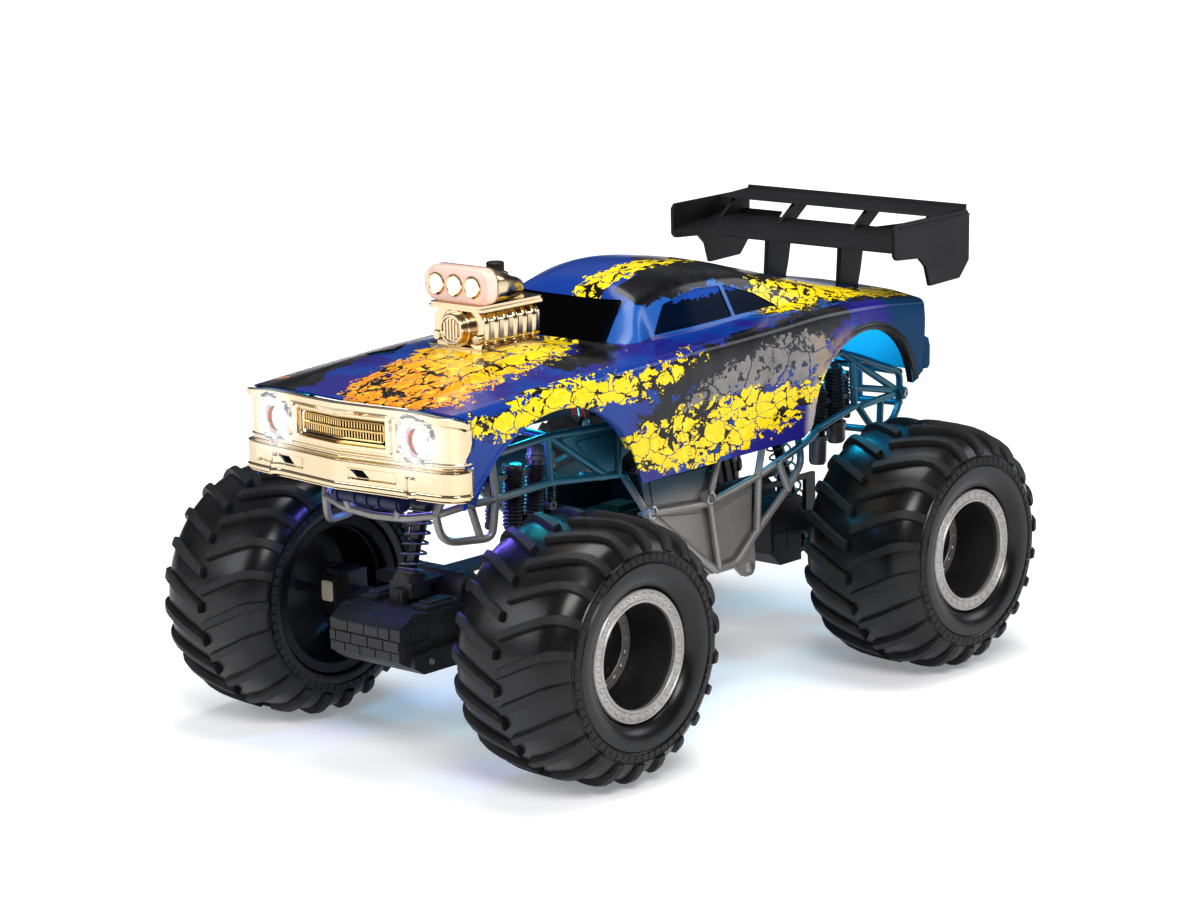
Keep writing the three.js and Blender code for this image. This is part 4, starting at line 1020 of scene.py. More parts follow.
def add_shell():
    """Body shell as one sheet with wall thickness, windows and hood vent cut out."""
    stations = shell_stations()
    rows = [[push_nose(p) for p in shell_row(x)] for x in stations]
    tail = [(x - 1.4, y * 0.985, 181 + (z - 181) * 0.985) for x, y, z in rows[0]]
    sheet = Build().grid([tail] + rows, 0)
    sheet.add(tail, [tuple(range(len(tail)))], 0)
    merge_rows(sheet)
    shell = sheet_object("printed_shell", sheet, ["livery", "inside"], SHELL_WALL, False)
    apply_modifiers(shell)
    tools = Build()
    for outline in SIDE_WINDOWS:
        for low, high in ((40, 80), (-80, -40)):
            tools.prism(rounded_outline(outline, 1.6), "y", low, high)
    tools.prism(rounded_outline(SCREEN, 2.5), "x", 12, 80)
    cut(shell, tools)
    cut(shell, Build().prism(rounded_outline(HOOD_VENT, 1.2), "z", 225, 245))
    for face in shell.data.polygons:
        centre, normal = face.center, face.normal
        inward = normal.y * centre.y + normal.z * (centre.z - 0.19) + normal.x * centre.x * 0.3 < 0
        face.material_index = 1 if inward else 0
    shell.data.shade_smooth()
    shell.data.set_sharp_from_angle(angle=math.radians(42))
    settle(shell, "chassis", ["body_shell"])
    return rows


def merge_rows(build):
    """Joins points that coincide, so the sheet is one surface."""
    seen, places = {}, []
    verts = []
    for point in build.verts:
        key = tuple(round(c, 3) for c in point)
        if key not in seen:
            seen[key] = len(verts)
            verts.append(point)
        places.append(seen[key])
    faces, looks = [], []
    for face, look in zip(build.faces, build.looks):
        loop = [places[i] for i in face]
        clean = [v for k, v in enumerate(loop) if v != loop[k - 1]]
        if len(set(clean)) > 2:
            faces.append(tuple(clean))
            looks.append(look)
    build.verts, build.faces, build.looks = verts, faces, looks


def arch_edge():
    """Points along the shell's lower edge from front to rear, with the way outwards."""
    points = []
    for (cx, cz, radius), first, last in ((FRONT_ARCH, 23.4, 147.8), (REAR_ARCH, 0.0, 168.6)):
        run = []
        for angle in np.radians(np.linspace(first, last, 48)):
            run.append((cx + radius * math.cos(angle), cz + radius * math.sin(angle),
                        math.cos(angle), math.sin(angle)))
        points.append(run)
    return points


def add_arch_lips():
    """Rolled flare round each wheel arch."""
    profile = [(-0.1, -4.0), (-0.1, 1.0), (0.5, 1.7), (2.6, 1.8), (3.8, 1.2), (6.5, 0.25), (9.0, -0.5),
               (5, -1.0), (1.2, -1.0), (1.2, -4.0)]
    lips = Build()
    for run in arch_edge():
        rows = []
        for k, (x, z, nx, nz) in enumerate(run):
            fade = min(1.0, (k + 1) / 5, (len(run) - k) / 5)
            row = []
            for out, proud in profile:
                px, pz = x + nx * out, z + nz * out
                rise = proud * fade if proud > 0 else proud
                row.append((px, side_y(px, max(150, pz)) + rise, pz))
            rows.append(row)
        skin_rows(lips, rows)
    lips.mirrored().finish("arch_lips", "chassis", ["livery"], slot="painted_shell", angle=50)


def add_windows(rows):
    """Dark panes just inside the window openings, following the cabin's skin."""
    grid = np.array(rows)
    along = np.gradient(grid, axis=0)
    over = np.gradient(grid, axis=1)
    normal = np.cross(along, over)
    normal /= np.maximum(np.linalg.norm(normal, axis=2, keepdims=True), 1e-9)
    normal *= np.sign((normal * (grid - np.array([0, 0, 150]))).sum(2, keepdims=True))
    inner = grid - normal * PANE_DEPTH
    panes = Build()
    index = {}
    for r in range(grid.shape[0] - 1):
        for c in range(grid.shape[1] - 1):
            x, y, z = grid[r:r + 2, c:c + 2].reshape(4, 3).mean(0)
            side = abs(y) > 40 and -97 < x < 30 and z > 234.5
            front = 12 < x < 62 and abs(y) < 55 and 233 < z < 262
            if not (side or front):
                continue
            loop = []
            for a, b in ((r, c), (r, c + 1), (r + 1, c + 1), (r + 1, c)):
                if (a, b) not in index:
                    index[(a, b)] = len(panes.verts)
                    panes.verts.append(tuple(inner[a, b]))
                loop.append(index[(a, b)])
            panes.faces.append(tuple(loop))
            panes.looks.append(0)
    piece = sheet_object("window_panes", panes, ["glass"], 1.0, False)
    apply_modifiers(piece)
    piece.data.shade_smooth()
    settle(piece, "chassis", ["window_insert"])


BUMPER_X = -217.1


def add_tail():
    """Rear bumper, recessed tail panel and its two lamps."""
    tail = Build()
    bumper = [(BUMPER_X, 181.4), (-222.6, 181.2), (-224.6, 183.4), (-225.0, 196.0), (-223.4, 201.6),
              (-219.0, 203.8), (BUMPER_X, 204)]
    plan = [(y, 1 - 0.03 * abs(y / 86) ** 6) for y in np.linspace(-86.4, 86.4, 25)]
    rows = [[(BUMPER_X + (x - BUMPER_X) * share, y, z) for x, z in bumper] for y, share in plan]
    skin_rows(tail, rows)
    tail.finish("rear_bumper", "chassis", ["livery"], slot="painted_shell", bevel=0.8)
    panel = Build().prism(rounded_outline([(-74, 208), (74, 208), (72, 224), (-72, 224)], 2.4), "x",
                          -218.6, -217.1)
    for side in (1, -1):
        for inner, outer in ((52, 70), (32, 49)):
            span = sorted((side * inner, side * outer))
            panel.prism(rectangle(span[0], span[1], 211, 221, 1.6), "x", -219.8, -218.0, 1)
    panel.finish("tail_panel", "chassis", ["black", "tail"], slot="black_plastic", bevel=0.4)


def skin_rows(build, rows):
    """Closed skin over matching rings of points."""
    build.grid(rows, wrap=True)
    around = len(rows[0])
    base = len(build.verts) - around * len(rows)
    build.faces += [tuple(base + j for j in range(around))[::-1],
                    tuple(base + around * (len(rows) - 1) + j for j in range(around))]
    build.looks += [0, 0]


def add_vent_pan():
    """Dark pan just below the vent in the hood."""
    x0, x1, y0, y1 = VENT_PAN
    xs, ys = np.linspace(x0, x1, 12), np.linspace(y0, y1, 14)
    floor_rows = [[(float(x), float(y), float(z) - 3.4) for y, z in zip(ys, top_z(x, ys))] for x in xs]
    pan = sheet_object("vent_pan", Build().grid(floor_rows, 0), ["black"], 1.0, True)
    apply_modifiers(pan)
    settle(pan, "chassis")


SHELL_ROWS = add_shell()
add_vent_pan()
add_arch_lips()
add_windows(SHELL_ROWS)
add_tail()

# ------------------------------------------------------------------ wheels

LUGS = 22
BAND_BLOCKS = 64
RIM_SCREWS = 20
RING_SCREWS = 33
CARCASS = [
    (39.8, 38.4), (42.0, 42.2), (46.0, 44.8), (51.0, 45.7), (54.8, 45.6), (55.5, 44.9),
    (56.2, 45.5), (61.0, 44.6), (61.6, 43.8), (62.3, 44.0), (65.5, 42.2), (69.5, 38.6),
    (72.6, 34.0), (74.6, 27.0), (75.7, 16.0), (76.1, 5.0), (76.1, -5.0), (75.7, -16.0),
    (74.6, -27.0), (72.6, -34.0), (69.5, -38.6), (65.5, -42.0), (61.5, -43.8), (56.0, -44.2),
    (51.6, -43.0), (50.6, -40.5), (50.6, -37.8), (54.0, -35.5), (62.0, -33.5), (62.0, 33.5),
    (52.0, 35.0), (39.8, 35.0),
]
LUG_SPINE = [
    (0.9, 0.0, 75.6, 0.0, 1.0, 4.2), (8.0, 2.5, 75.5, 0.05, 1.0, 4.2),
    (16.0, 5.3, 75.2, 0.1, 1.0, 4.2), (24.0, 8.2, 74.6, 0.2, 1.0, 4.1),
    (30.0, 10.6, 73.4, 0.45, 0.9, 4.1), (34.6, 12.0, 71.6, 0.7, 0.72, 4.0),
    (38.4, 12.6, 68.6, 0.85, 0.52, 3.8), (41.2, 12.9, 65.4, 0.94, 0.34, 3.4),
    (43.0, 13.0, 62.6, 0.97, 0.22, 2.6),
]
LUG_SECTION = [(-3.5, -1.2), (-2.95, 0.72), (-2.5, 0.97), (0.0, 1.0), (2.5, 0.97), (2.95, 0.72),
               (3.5, -1.2)]


def wheel_point(hub, handed, radius, out, angle):
    """A point of a wheel; out runs from the hub to the face."""
    return (hub[0] + radius * math.cos(angle), hub[1] + handed * out, hub[2] + radius * math.sin(angle))


def add_lugs(build, hub, handed, side, offset):
    """One row of swept tread bars; side +1 is the row nearer the wheel's face."""
    for index in range(LUGS):
        middle = (index + offset) * 360 / LUGS
        verts, faces = [], []
        for out, sweep, radius, lean_out, lean_up, height in LUG_SPINE:
            turn = math.radians(middle + sweep)
            for width, rise in LUG_SECTION:
                lift = height * rise if rise > 0 else rise
                r = radius + lift * lean_up
                angle = turn + width / r
                verts.append(wheel_point(hub, handed, r, side * (out + lift * lean_out), angle))
        around, count = len(LUG_SECTION), len(LUG_SPINE)
        for k in range(count - 1):
            for j in range(around):
                n = (j + 1) % around
                faces.append((k * around + j, k * around + n, (k + 1) * around + n, (k + 1) * around + j))
        faces.append(tuple(range(around))[::-1])
        faces.append(tuple((count - 1) * around + j for j in range(around)))
        build.add(verts, faces, 1)


def add_band_blocks(build, hub, handed, side):
    """Low raised blocks round the sidewall between its two grooves."""
    for index in range(BAND_BLOCKS):
        start = 2 * math.pi * index / BAND_BLOCKS
        span = 2 * math.pi / BAND_BLOCKS - 0.012
        corners = []
        for r, out in ((56.7, 45.2), (60.6, 44.45)):
            corners.append([wheel_point(hub, handed, r, side * (out + lift), start + share)
                            for lift in (-0.5, 0.75) for share in (0.0, span)])
        (a, b, c, d), (e, f, g, h) = corners
        build.add([a, b, c, d, e, f, g, h], [(2, 3, 7, 6), (0, 2, 6, 4), (1, 5, 7, 3), (0, 1, 3, 2),
                                            (4, 6, 7, 5), (0, 4, 5, 1)], 1)


def add_wheel(tag, sign, handed, body):
    """Tyre, deep rim and screwed ring of one wheel."""
    hub = (sign * AXLE_X, handed * WHEEL_Y, AXLE_Z)
    way = (0, handed, 0)
    tyre = Build().lathe(CARCASS, hub, way, 96, 0, closed=True)
    add_lugs(tyre, hub, handed, 1, 0.0)
    add_lugs(tyre, hub, handed, -1, 0.5)
    add_band_blocks(tyre, hub, handed, 1)
    add_band_blocks(tyre, hub, handed, -1)
    tyre.finish(f"tread_tyre_{tag}", body, ["carcass", "lug"], [f"tyre_{tag}"], "tyre",
                angle=34)
    rim = Build().lathe([
        (3.4, 3.0), (5.2, 3.0), (6.4, 5.0), (12.0, 5.4), (21.6, 5.4), (22.2, 6.6), (30.2, 6.6),
        (30.6, 8.5), (31.0, 20.0), (31.4, 34.0), (31.8, 37.4), (32.4, 38.2), (39.2, 38.2), (39.2, 20.0),
        (41.8, 0.0), (46.2, -33.0), (50.4, -37.9), (50.4, -40.4), (49.8, -41.2), (44.0, -41.2),
        (43.0, -40.2), (42.4, -34.0), (41.2, -33.0), (38.6, -6.0), (36.0, -3.0), (30.0, -1.0),
        (18.0, -3.6), (9.0, -5.0), (3.4, -5.0)], hub, way, 96, 0, closed=True)
    for index in range(5):
        turn = 2 * math.pi * (index + 0.3) / 5
        at = wheel_point(hub, handed, 16.6, 5.6, turn)
        rim.lathe([(3.4, -0.6), (3.4, 0.7), (2.6, 1.2), (1.9, 0.2), (0, 0.2)], at, way, 24, 0)
    rim.lathe([(5.6, 2.8), (5.6, 8.4), (4.8, 9.2), (3.0, 9.2), (3.0, 8.6), (0, 8.6)], hub, way, 6, 1)
    for index in range(RIM_SCREWS):
        at = wheel_point(hub, handed, 26.6, 6.6, 2 * math.pi * index / RIM_SCREWS)
        rim.lathe([(2.0, -0.4), (2.0, 1.0), (1.5, 1.5), (0, 1.5)], at, way, 6, 1)
    rim.lathe([(22.8, 6.4), (23.3, 7.2), (29.6, 7.2), (30.0, 6.4)], hub, way, 96, 1, closed=True)
    rim.finish(f"deep_rim_{tag}", body, ["rim", "ring"], [f"rim_{tag}"], "rim_black", angle=32)
    ring = Build().lathe([
        (31.4, 38.3), (31.4, 40.6), (32.0, 41.2), (32.9, 41.2), (33.4, 40.5), (37.6, 40.5), (38.1, 41.2),
        (38.9, 41.1), (39.5, 40.4), (39.6, 38.3)], hub, way, 96, 0, closed=True)
    for index in range(RING_SCREWS):
        at = wheel_point(hub, handed, 35.5, 40.5, 2 * math.pi * index / RING_SCREWS)
        ring.lathe([(1.75, -0.3), (1.75, 0.25), (1.3, 0.75), (0.8, 0.6), (0, 0.35)], at, way, 12, 0)
    ring.finish(f"silver_ring_{tag}", body, ["ring"], [f"beadlock_ring_{tag}"], "ring_silver", angle=30)


add_wheel("front_left", 1, 1, "front_left_wheel")
add_wheel("front_right", 1, -1, "front_right_wheel")
add_wheel("rear_left", -1, 1, "rear_wheels")
add_wheel("rear_right", -1, -1, "rear_wheels")

# ------------------------------------------------------------------ front fascia and lamps

LAMP_Y, LAMP_Z = 59.0, 205.3
# middles of the two slanted slots in the bumper
BUMPER_SLOTS = (18.0, -47.0)
HOOD_EDGE_Y, SIDE_EDGE_Y = 81.7, 87.0


def fascia_plan():
    """Half of the nose in plan from the middle out, with the way each point faces."""
    points = [(float(nose_plan(y)), float(y)) for y in sorted(
        set(np.linspace(0, 80, 36).round(2)) | {36.4, 37.2, 40.0, 40.8, 43.2, 44, 46, 46.8, 8.4, 9.2,
                                                60.5, 72.0})]
    start, bend, end = np.array([228.3, 80.0]), np.array([227.6, 87.4]), np.array([214.3, 87.6])
    for k in range(1, 13):
        t = k / 12
        points.append(tuple((1 - t) ** 2 * start + 2 * t * (1 - t) * bend + t * t * end))
    return points


def fascia_top(y):
    """Height at which the fascia meets the hood."""
    y = abs(y)
    reach = float(nose_plan(min(y, 87.5))) - 3.4 - SHELL_FRONT
    if y <= HOOD_EDGE_Y:
        return float(top_z(SHELL_FRONT, np.array([y]))[0]) - 0.075 * reach
    share = min(1.0, (y - HOOD_EDGE_Y) / (SIDE_EDGE_Y - HOOD_EDGE_Y))
    return 218 + 4 * math.sqrt(max(0.0, 1 - share**2)) - 0.075 * reach


def step(value, edge, soft=0.8):
    """0 below the edge and 1 above it."""
    return float(smooth_step((value - edge) / soft + 0.5))


def within(value, low, high, soft=0.8):
    """1 between two edges and 0 outside them."""
    return step(value, low, soft) * (1 - step(value, high, soft))


def fascia_relief(y, z):
    """How far the fascia stands out from its plan line."""
    side = abs(y)
    peak = 2.8 * max(0.0, 1 - side / 22)
    proud = 3.0 * step(z, 216.0 - peak * 0.5, 1.0)
    bumper = 1 - step(z, 190.2, 1.4)
    proud += 3.4 * bumper + 0.9 * (1 - step(z, 175.6, 1.0))
    proud -= 1.6 * (1 - step(z, 172.6, 1.6))
    proud += 0.9 * within(z, 192.4, 194.0, 0.7) * (1 - bumper)
    round_lamp = math.hypot(side - LAMP_Y, z - LAMP_Z)
    proud += 1.9 * (1 - step(round_lamp, 13.6, 1.4)) - 1.0 * (1 - step(round_lamp, 11.9, 0.8))
    frame = within(side, -50, 40.4, 0.8) * within(z, 195.8, 217.4, 0.8)
    inner = within(side, -50, 36.8, 0.8) * within(z, 198.9, 215.0, 0.8)
    proud += 1.7 * frame * (1 - inner) * (1 - step(z, 215.6 - peak * 0.5, 0.8) * 0.9)
    proud -= 1.5 * within(side, 43.6, 46.4) * within(z, 198.0, 214.0)
    long_slot = within(z, 179.4, 185.6) * (within(y, 9.0, 45.0) + within(y, -72.0, -30.0))
    proud -= 1.4 * min(1.0, long_slot)
    guard = within(side, 55.0, 59.5, 1.0) * within(z, 172.0, 184.5, 1.2)
    return proud + 2.6 * guard


def add_fascia():
    """Plated nose with lamp holes, a grille opening and two slots."""
    half = fascia_plan()
    plan = [(x, -y) for x, y in half[:0:-1]] + half
    heights = sorted(set(np.arange(172.0, 221.4, 1.25).round(2)) | {
        171.5, 175.1, 176.1, 189.6, 190.2, 190.9, 192.1, 192.8, 193.6, 194.4, 195.4, 196.2, 198.5, 199.3,
        214.6, 215.4, 217.0, 217.8, 218.6, 179.0, 179.8, 185.2, 186.0, 183.9, 185.1})
    ways = []
    for k in range(len(plan)):
        before, after = np.array(plan[max(0, k - 1)]), np.array(plan[min(len(plan) - 1, k + 1)])
        run = unit(after - before)
        ways.append((run[1], -run[0]))
    rows = []
    for z in heights:
        row = []
        for (x, y), (nx, ny) in zip(plan, ways):
            lift = fascia_top(y) + 0.25 - 221.5
            out = fascia_relief(y, z) * smooth_step((x - 213.5) / 6.0)
            row.append((x + nx * out, y + ny * out, z + lift * float(smooth_step((z - 196) / 25))))
        rows.append(row)
    crest = rows[-1]
    for back, rise in ((0.7, 0.45), (2.2, 0.7), (4.2, 0.45)):
        rows.append([(x - nx * back, y - ny * back, z + rise) for (x, y, z),
                     (nx, ny) in zip(crest, ways)])
    sheet = Build().grid(rows, 0)
    piece = sheet_object("chrome_fascia", sheet, ["gold_lit", "gold_lit"], 1.5, True)
    piece.data.materials.pop()
    piece.modifiers[0].material_offset = 0
    apply_modifiers(piece)
    tools = Build().block(222, 262, -36.6, 36.6, 198.9, 215.0)
    for sign in (1, -1):
        tools.lathe([(0, 0), (11.0, 0), (11.0, 50), (0, 50)], (205, sign * LAMP_Y, LAMP_Z), X_WAY, 40)
    cut(piece, tools)
    slots = Build()
    for y in BUMPER_SLOTS:
        slots.prism([(y - 8, 184.6), (y + 2, 184.6), (y + 7, 180.2), (y - 2, 180.2)], "x", 225, 262)
    cut(piece, slots)
    backing = Build()
    for y in BUMPER_SLOTS:
        reach = float(nose_plan(y)) - 3.2
        backing.prism(rectangle(y - 12, y + 11, 177.5, 187.5, 1.5),
                      "x", reach - 1.6, reach, 0)
    backing.finish("slot_backing", "chassis", ["black"], slot="black_plastic", bevel=0.3)
    piece.data.shade_smooth()
    piece.data.set_sharp_from_angle(angle=math.radians(36))
    settle(piece, "chassis", ["front_fascia"])


def rounded_frame(build, half, low, high, back, radius):
    """Round bar bent into a frame that follows the nose."""
    loop = rectangle(-half, half, low, high, 2.4)
    path = []
    for (y0, z0), (y1, z1) in zip(loop, loop[1:] + loop[:1]):
        for share in np.linspace(0, 1, 9)[:-1] if abs(y1 - y0) > 20 else (0.0,):
            y, z = y0 + (y1 - y0) * share, z0 + (z1 - z0) * share
            path.append((float(nose_plan(y)) - back, y, z))
    ring = [(radius * math.cos(a), radius * math.sin(a)) for a in np.linspace(0, 2 * math.pi, 9)[:-1]]
    build.sweep(path, ring, closed=True)


def add_grille():
    """Slats in two rows inside two rounded frames."""
    grille = Build()
    rounded_frame(grille, 36.2, 199.5, 214.5, 1.4, 1.0)
    rounded_frame(grille, 33.4, 201.6, 212.4, 2.2, 0.7)
    back = [[(float(nose_plan(y)) - depth, float(y), z) for y in np.linspace(-36.4, 36.4, 25)]
            for z, depth in ((199.2, 6.6), (199.2, 5.4), (214.8, 5.4), (214.8, 6.6))]
    grille.grid(back, 1)
    count = 31
    for index in range(count):
        y = -32.0 + 64.0 * index / (count - 1)
        front = float(nose_plan(y)) - 2.3
        for low, high in ((202.0, 206.5), (207.7, 212.0)):
            grille.prism([(front - 3.4, y - 0.62), (front - 0.5, y - 0.5), (front, y),
                          (front - 0.5, y + 0.5), (front - 3.4, y + 0.62)], "z", low, high)
    bar = [(float(nose_plan(y)) - 2.2, float(y), 207.1) for y in np.linspace(-33.4, 33.4, 21)]
    grille.sweep(bar, [(-0.8, -1.2), (0.8, -1.2), (0.8, 0.6), (0.4, 1.0), (-0.4, 1.0), (-0.8, 0.6)], 0,
                 up=X_WAY)
    grille.finish("slatted_grille", "chassis", ["amber_chrome", "inside"], ["grille_insert"],
                  "pale_gold_chrome", angle=30)


def arc(middle, radius, first, last, count):
    """Points round (middle, 0) from one angle to another, in degrees."""
    turns = np.linspace(math.radians(first), math.radians(last), count)
    return [(middle + radius * math.cos(a), radius * math.sin(a)) for a in turns]


def add_headlight(name, sign):
    """Round lamp with its rim, shaded crescent and three red dots."""
    x = float(nose_plan(LAMP_Y)) - 8.4
    at, way = (x, sign * LAMP_Y, LAMP_Z), X_WAY
    lamp = Build().lathe([(0, 0), (10.7, 0), (10.7, 8.8), (10.2, 9.5), (9.5, 9.3), (9.0, 7.4), (8.5, 4.0),
                          (0, 3.4)],
                         at, way, 48, 0)
    lamp.lathe([(0, 3.6), (8.2, 4.3), (8.2, 4.9), (5.0, 5.6), (0, 6.0)], at, way, 40, 1)
    crescent = arc(0, 8.3, 118, 262, 22) + arc(3.4, 8.6, 248, 128, 18)
    lamp.prism([(sign * LAMP_Y + a, LAMP_Z + b) for a, b in crescent], "x", x + 5.2, x + 6.4, 2)
    for a, b in arc(0, 6.5, 146, 214, 3):
        spot = (x + 6.2, sign * LAMP_Y + a, LAMP_Z + b)
        lamp.lathe([(0.9, 0), (0.8, 0.5), (0, 0.8)], spot, way, 16, 3)
    looks = ["gold_lit", "lamp_glow", "lamp_brown", "lamp_red"]
    lamp.finish(f"round_{name}", "chassis", looks, [name], "headlamp", angle=40)


add_fascia()
add_grille()
add_headlight("headlight_left", 1)
add_headlight("headlight_right", -1)

# ------------------------------------------------------------------ blower, scoop, lens, knob

SEAT_Z = 239.0
BULB_X, BULB_Z = 135.2, 277.8
KNOB_X = 100


def add_blower():
    """Ribbed case on its seat, with a round cover and screw heads."""
    outline = [(-17, SEAT_Z + 0.6), (17, SEAT_Z + 0.6), (20.4, 244), (20.8, 257), (17.5, 261.5),
               (14, 263.2), (-14, 263.2), (-17.5, 261.5), (-20.8, 257), (-20.4, 244)]
    case = Build().prism(rounded_outline(outline, 1.2), "x", 84, 133)
    case.prism(rectangle(82, 137, -24, 24, 3), "z", 236.4, 241.0)
    loop = rounded_outline([(-19.2, 243.5), (19.2, 243.5), (19.6, 257.5), (14, 261.6), (-14, 261.6),
                            (-19.6, 257.5)], 2.6)
    ring = [(2.5 * math.cos(a), 2.9 * math.sin(a)) for a in np.linspace(0, 2 * math.pi, 13)[:-1]]
    for index in range(6):
        x = 88.2 + index * 8.3
        case.sweep([(x, y, z) for y, z in loop], ring, 0, closed=True, up=X_WAY)
    for z, half in ((263.0, 23.0), (264.8, 21.4)):
        case.prism(rectangle(80.5, 137, -half, half, 3.5), "z", z, z + 1.8)
    case.prism(rectangle(90, 124, -15, 15, 2), "z", 266, 267.6)
    for x in (85, 102, 117, 133):
        for y in (-19.6, 19.6):
            case.bolt((x, y, 264.8), Z_WAY, 1.5, 1.0, 0, 12)
    front = (133.0, 0.0, 251.5)
    case.lathe([(0, 0), (12.2, 0), (12.2, 3.0), (11.4, 3.8), (9.8, 3.8), (9.8, 6.4), (9.0, 7.2),
                (7.8, 7.2), (7.4, 6.2), (0, 6.2)], front, X_WAY, 48)
    for index in range(5):
        y = (index - 2) * 2.5
        rise = math.sqrt(6.6**2 - y * y)
        bar = rectangle(y - 0.75, y + 0.75, front[2] - rise, front[2] + rise, 0.4)
        case.prism(bar, "x", 138.6, 140.6)
    for y in (-16.5, 16.5):
        case.lathe([(0, 0), (3.4, 0), (3.4, 2.2), (2.6, 3.0), (0, 3.0)], (133, y, 246), X_WAY, 20)
    for x in (88, 108, 128):
        for y in (-22.4, 22.4):
            case.bolt((x, y, 241.0), Z_WAY, 1.3, 1.2, 0, 12)
    case.finish("ribbed_blower", "chassis", ["gold"], ["blower_case"], "pale_gold_chrome",
                bevel=0.35, angle=40)


def scoop_section(x, half, low, high, corner, count=7):
    """Rounded box section across the truck."""
    points = []
    centres = [(half - corner, low + corner, -90), (half - corner, high - corner, 0),
               (-half + corner, high - corner, 90), (-half + corner, low + corner, 180)]
    for y, z, start in centres:
        for k in range(count):
            turn = math.radians(start + 90 * k / (count - 1))
            points.append((x, y + corner * math.cos(turn), z + corner * math.sin(turn)))
    return points


def add_scoop():
    """Scoop, its lens with three bulbs, and the knob on top."""
    scoop = Build()
    skin_rows(scoop, [scoop_section(*sizes) for sizes in (
        (91.4, 13.0, 267.4, 275.0, 3.0), (92.4, 16.2, 266.9, 277.4, 4.0),
        (98.0, 19.2, 266.9, 279.6, 4.6), (106.0, 22.0, 266.9, 281.8, 5.4),
        (113.0, 24.4, 266.9, 284.8, 6.4), (119.0, 26.0, 267.0, 287.2, 7.4),
        (124.6, 26.6, 267.0, 288.4, 8.2), (125.0, 27.4, 266.6, 289.0, 8.6),
        (126.2, 27.4, 266.6, 289.0, 8.6), (126.2, 25.0, 268.8, 286.8, 7.4),
        (112.0, 18.0, 269.6, 280.4, 4.6))])
    scoop.lathe([(0, 0), (8.0, 0), (8.0, 4.6), (7.2, 5.4), (3.4, 5.4), (3.4, 3.0), (0, 3.0)],
                (KNOB_X, 0, 275.8), Z_WAY, 32)
    scoop.finish("chrome_scoop", "chassis", ["gold"], ["intake_scoop"], "pale_gold_chrome", angle=34)
    lens = Build()
    skin_rows(lens, [scoop_section(*sizes) for sizes in (
        (126.5, 25.4, 268.2, 287.6, 7.8), (126.9, 27.2, 266.8, 288.8, 8.6),
        (132.0, 27.0, 266.9, 288.7, 8.8), (134.6, 26.2, 267.6, 288.0, 8.8),
        (135.6, 24.4, 269.0, 286.6, 8.0), (135.9, 20.0, 271.0, 284.6, 6.2))])
    for y in (-15, 0, 15):
        lens.lathe([(4.9, 0), (6.9, 0.0), (6.9, 1.1), (6.2, 1.7), (5.4, 1.5), (4.9, 0.4)],
                   (BULB_X, y, BULB_Z), X_WAY, 32, 2, closed=True)
        lens.lathe([(5.1, -0.4), (5.1, 0.7), (4.4, 1.9), (2.6, 2.8), (0, 3.2)], (BULB_X, y, BULB_Z),
                   X_WAY, 32, 1)
    lens.finish("lit_scoop_lens", "chassis", ["pink", "bulb", "gold"], ["scoop_lens"], "pink_lens",
                angle=40)
    knob = Build()
    star = []
    for index in range(16):
        for turn, r in ((0, 5.5), (8, 5.5), (11.2, 4.9), (19.3, 4.9)):
            angle = math.radians(index * 22.5 + turn)
            star.append((KNOB_X + r * math.cos(angle), r * math.sin(angle)))
    knob.prism(star, "z", 281.6, 286.0)
    knob.lathe([(0, 0), (5.6, 0), (5.6, 0.9), (4.8, 1.6), (2.0, 1.8), (1.6, 1.2), (0, 1.2)],
               (KNOB_X, 0, 286.0), Z_WAY, 40)
    knob.lathe([(0, 0), (2.9, 0), (2.9, 5.0), (0, 5.0)], (KNOB_X, 0, 277.4), Z_WAY, 24)
    knob.finish("ribbed_knob", "knob", ["black"], ["scoop_knob"], "black_plastic", bevel=0.25)


add_blower()
add_scoop()

# ------------------------------------------------------------------ rear wing


WING_PLATE = [(-177, 283.2), (-174.2, 280), (-174.2, 262.5), (-177, 259.8), (-201, 258.3), (-208, 252),
              (-212.3, 238.5), (-245, 239.6), (-255.6, 250.6), (-256.3, 280), (-254, 284.2)]
WING_LOWER = [(-174.0, 264.6), (-175.4, 266.2), (-205, 269.6), (-230, 272.4), (-241.4, 273.4),
              (-241.2, 271.6), (-226, 269.8), (-205, 266.6), (-182, 264.0)]
WING_UPPER = [(-223.6, 282.4), (-225.0, 283.8), (-238, 284.6), (-255.8, 285.6), (-255.8, 284.0),
              (-238, 282.6), (-227, 281.8)]
WING_HALF, WING_POST_Y = 93.4, (-83, -31, 31, 83)


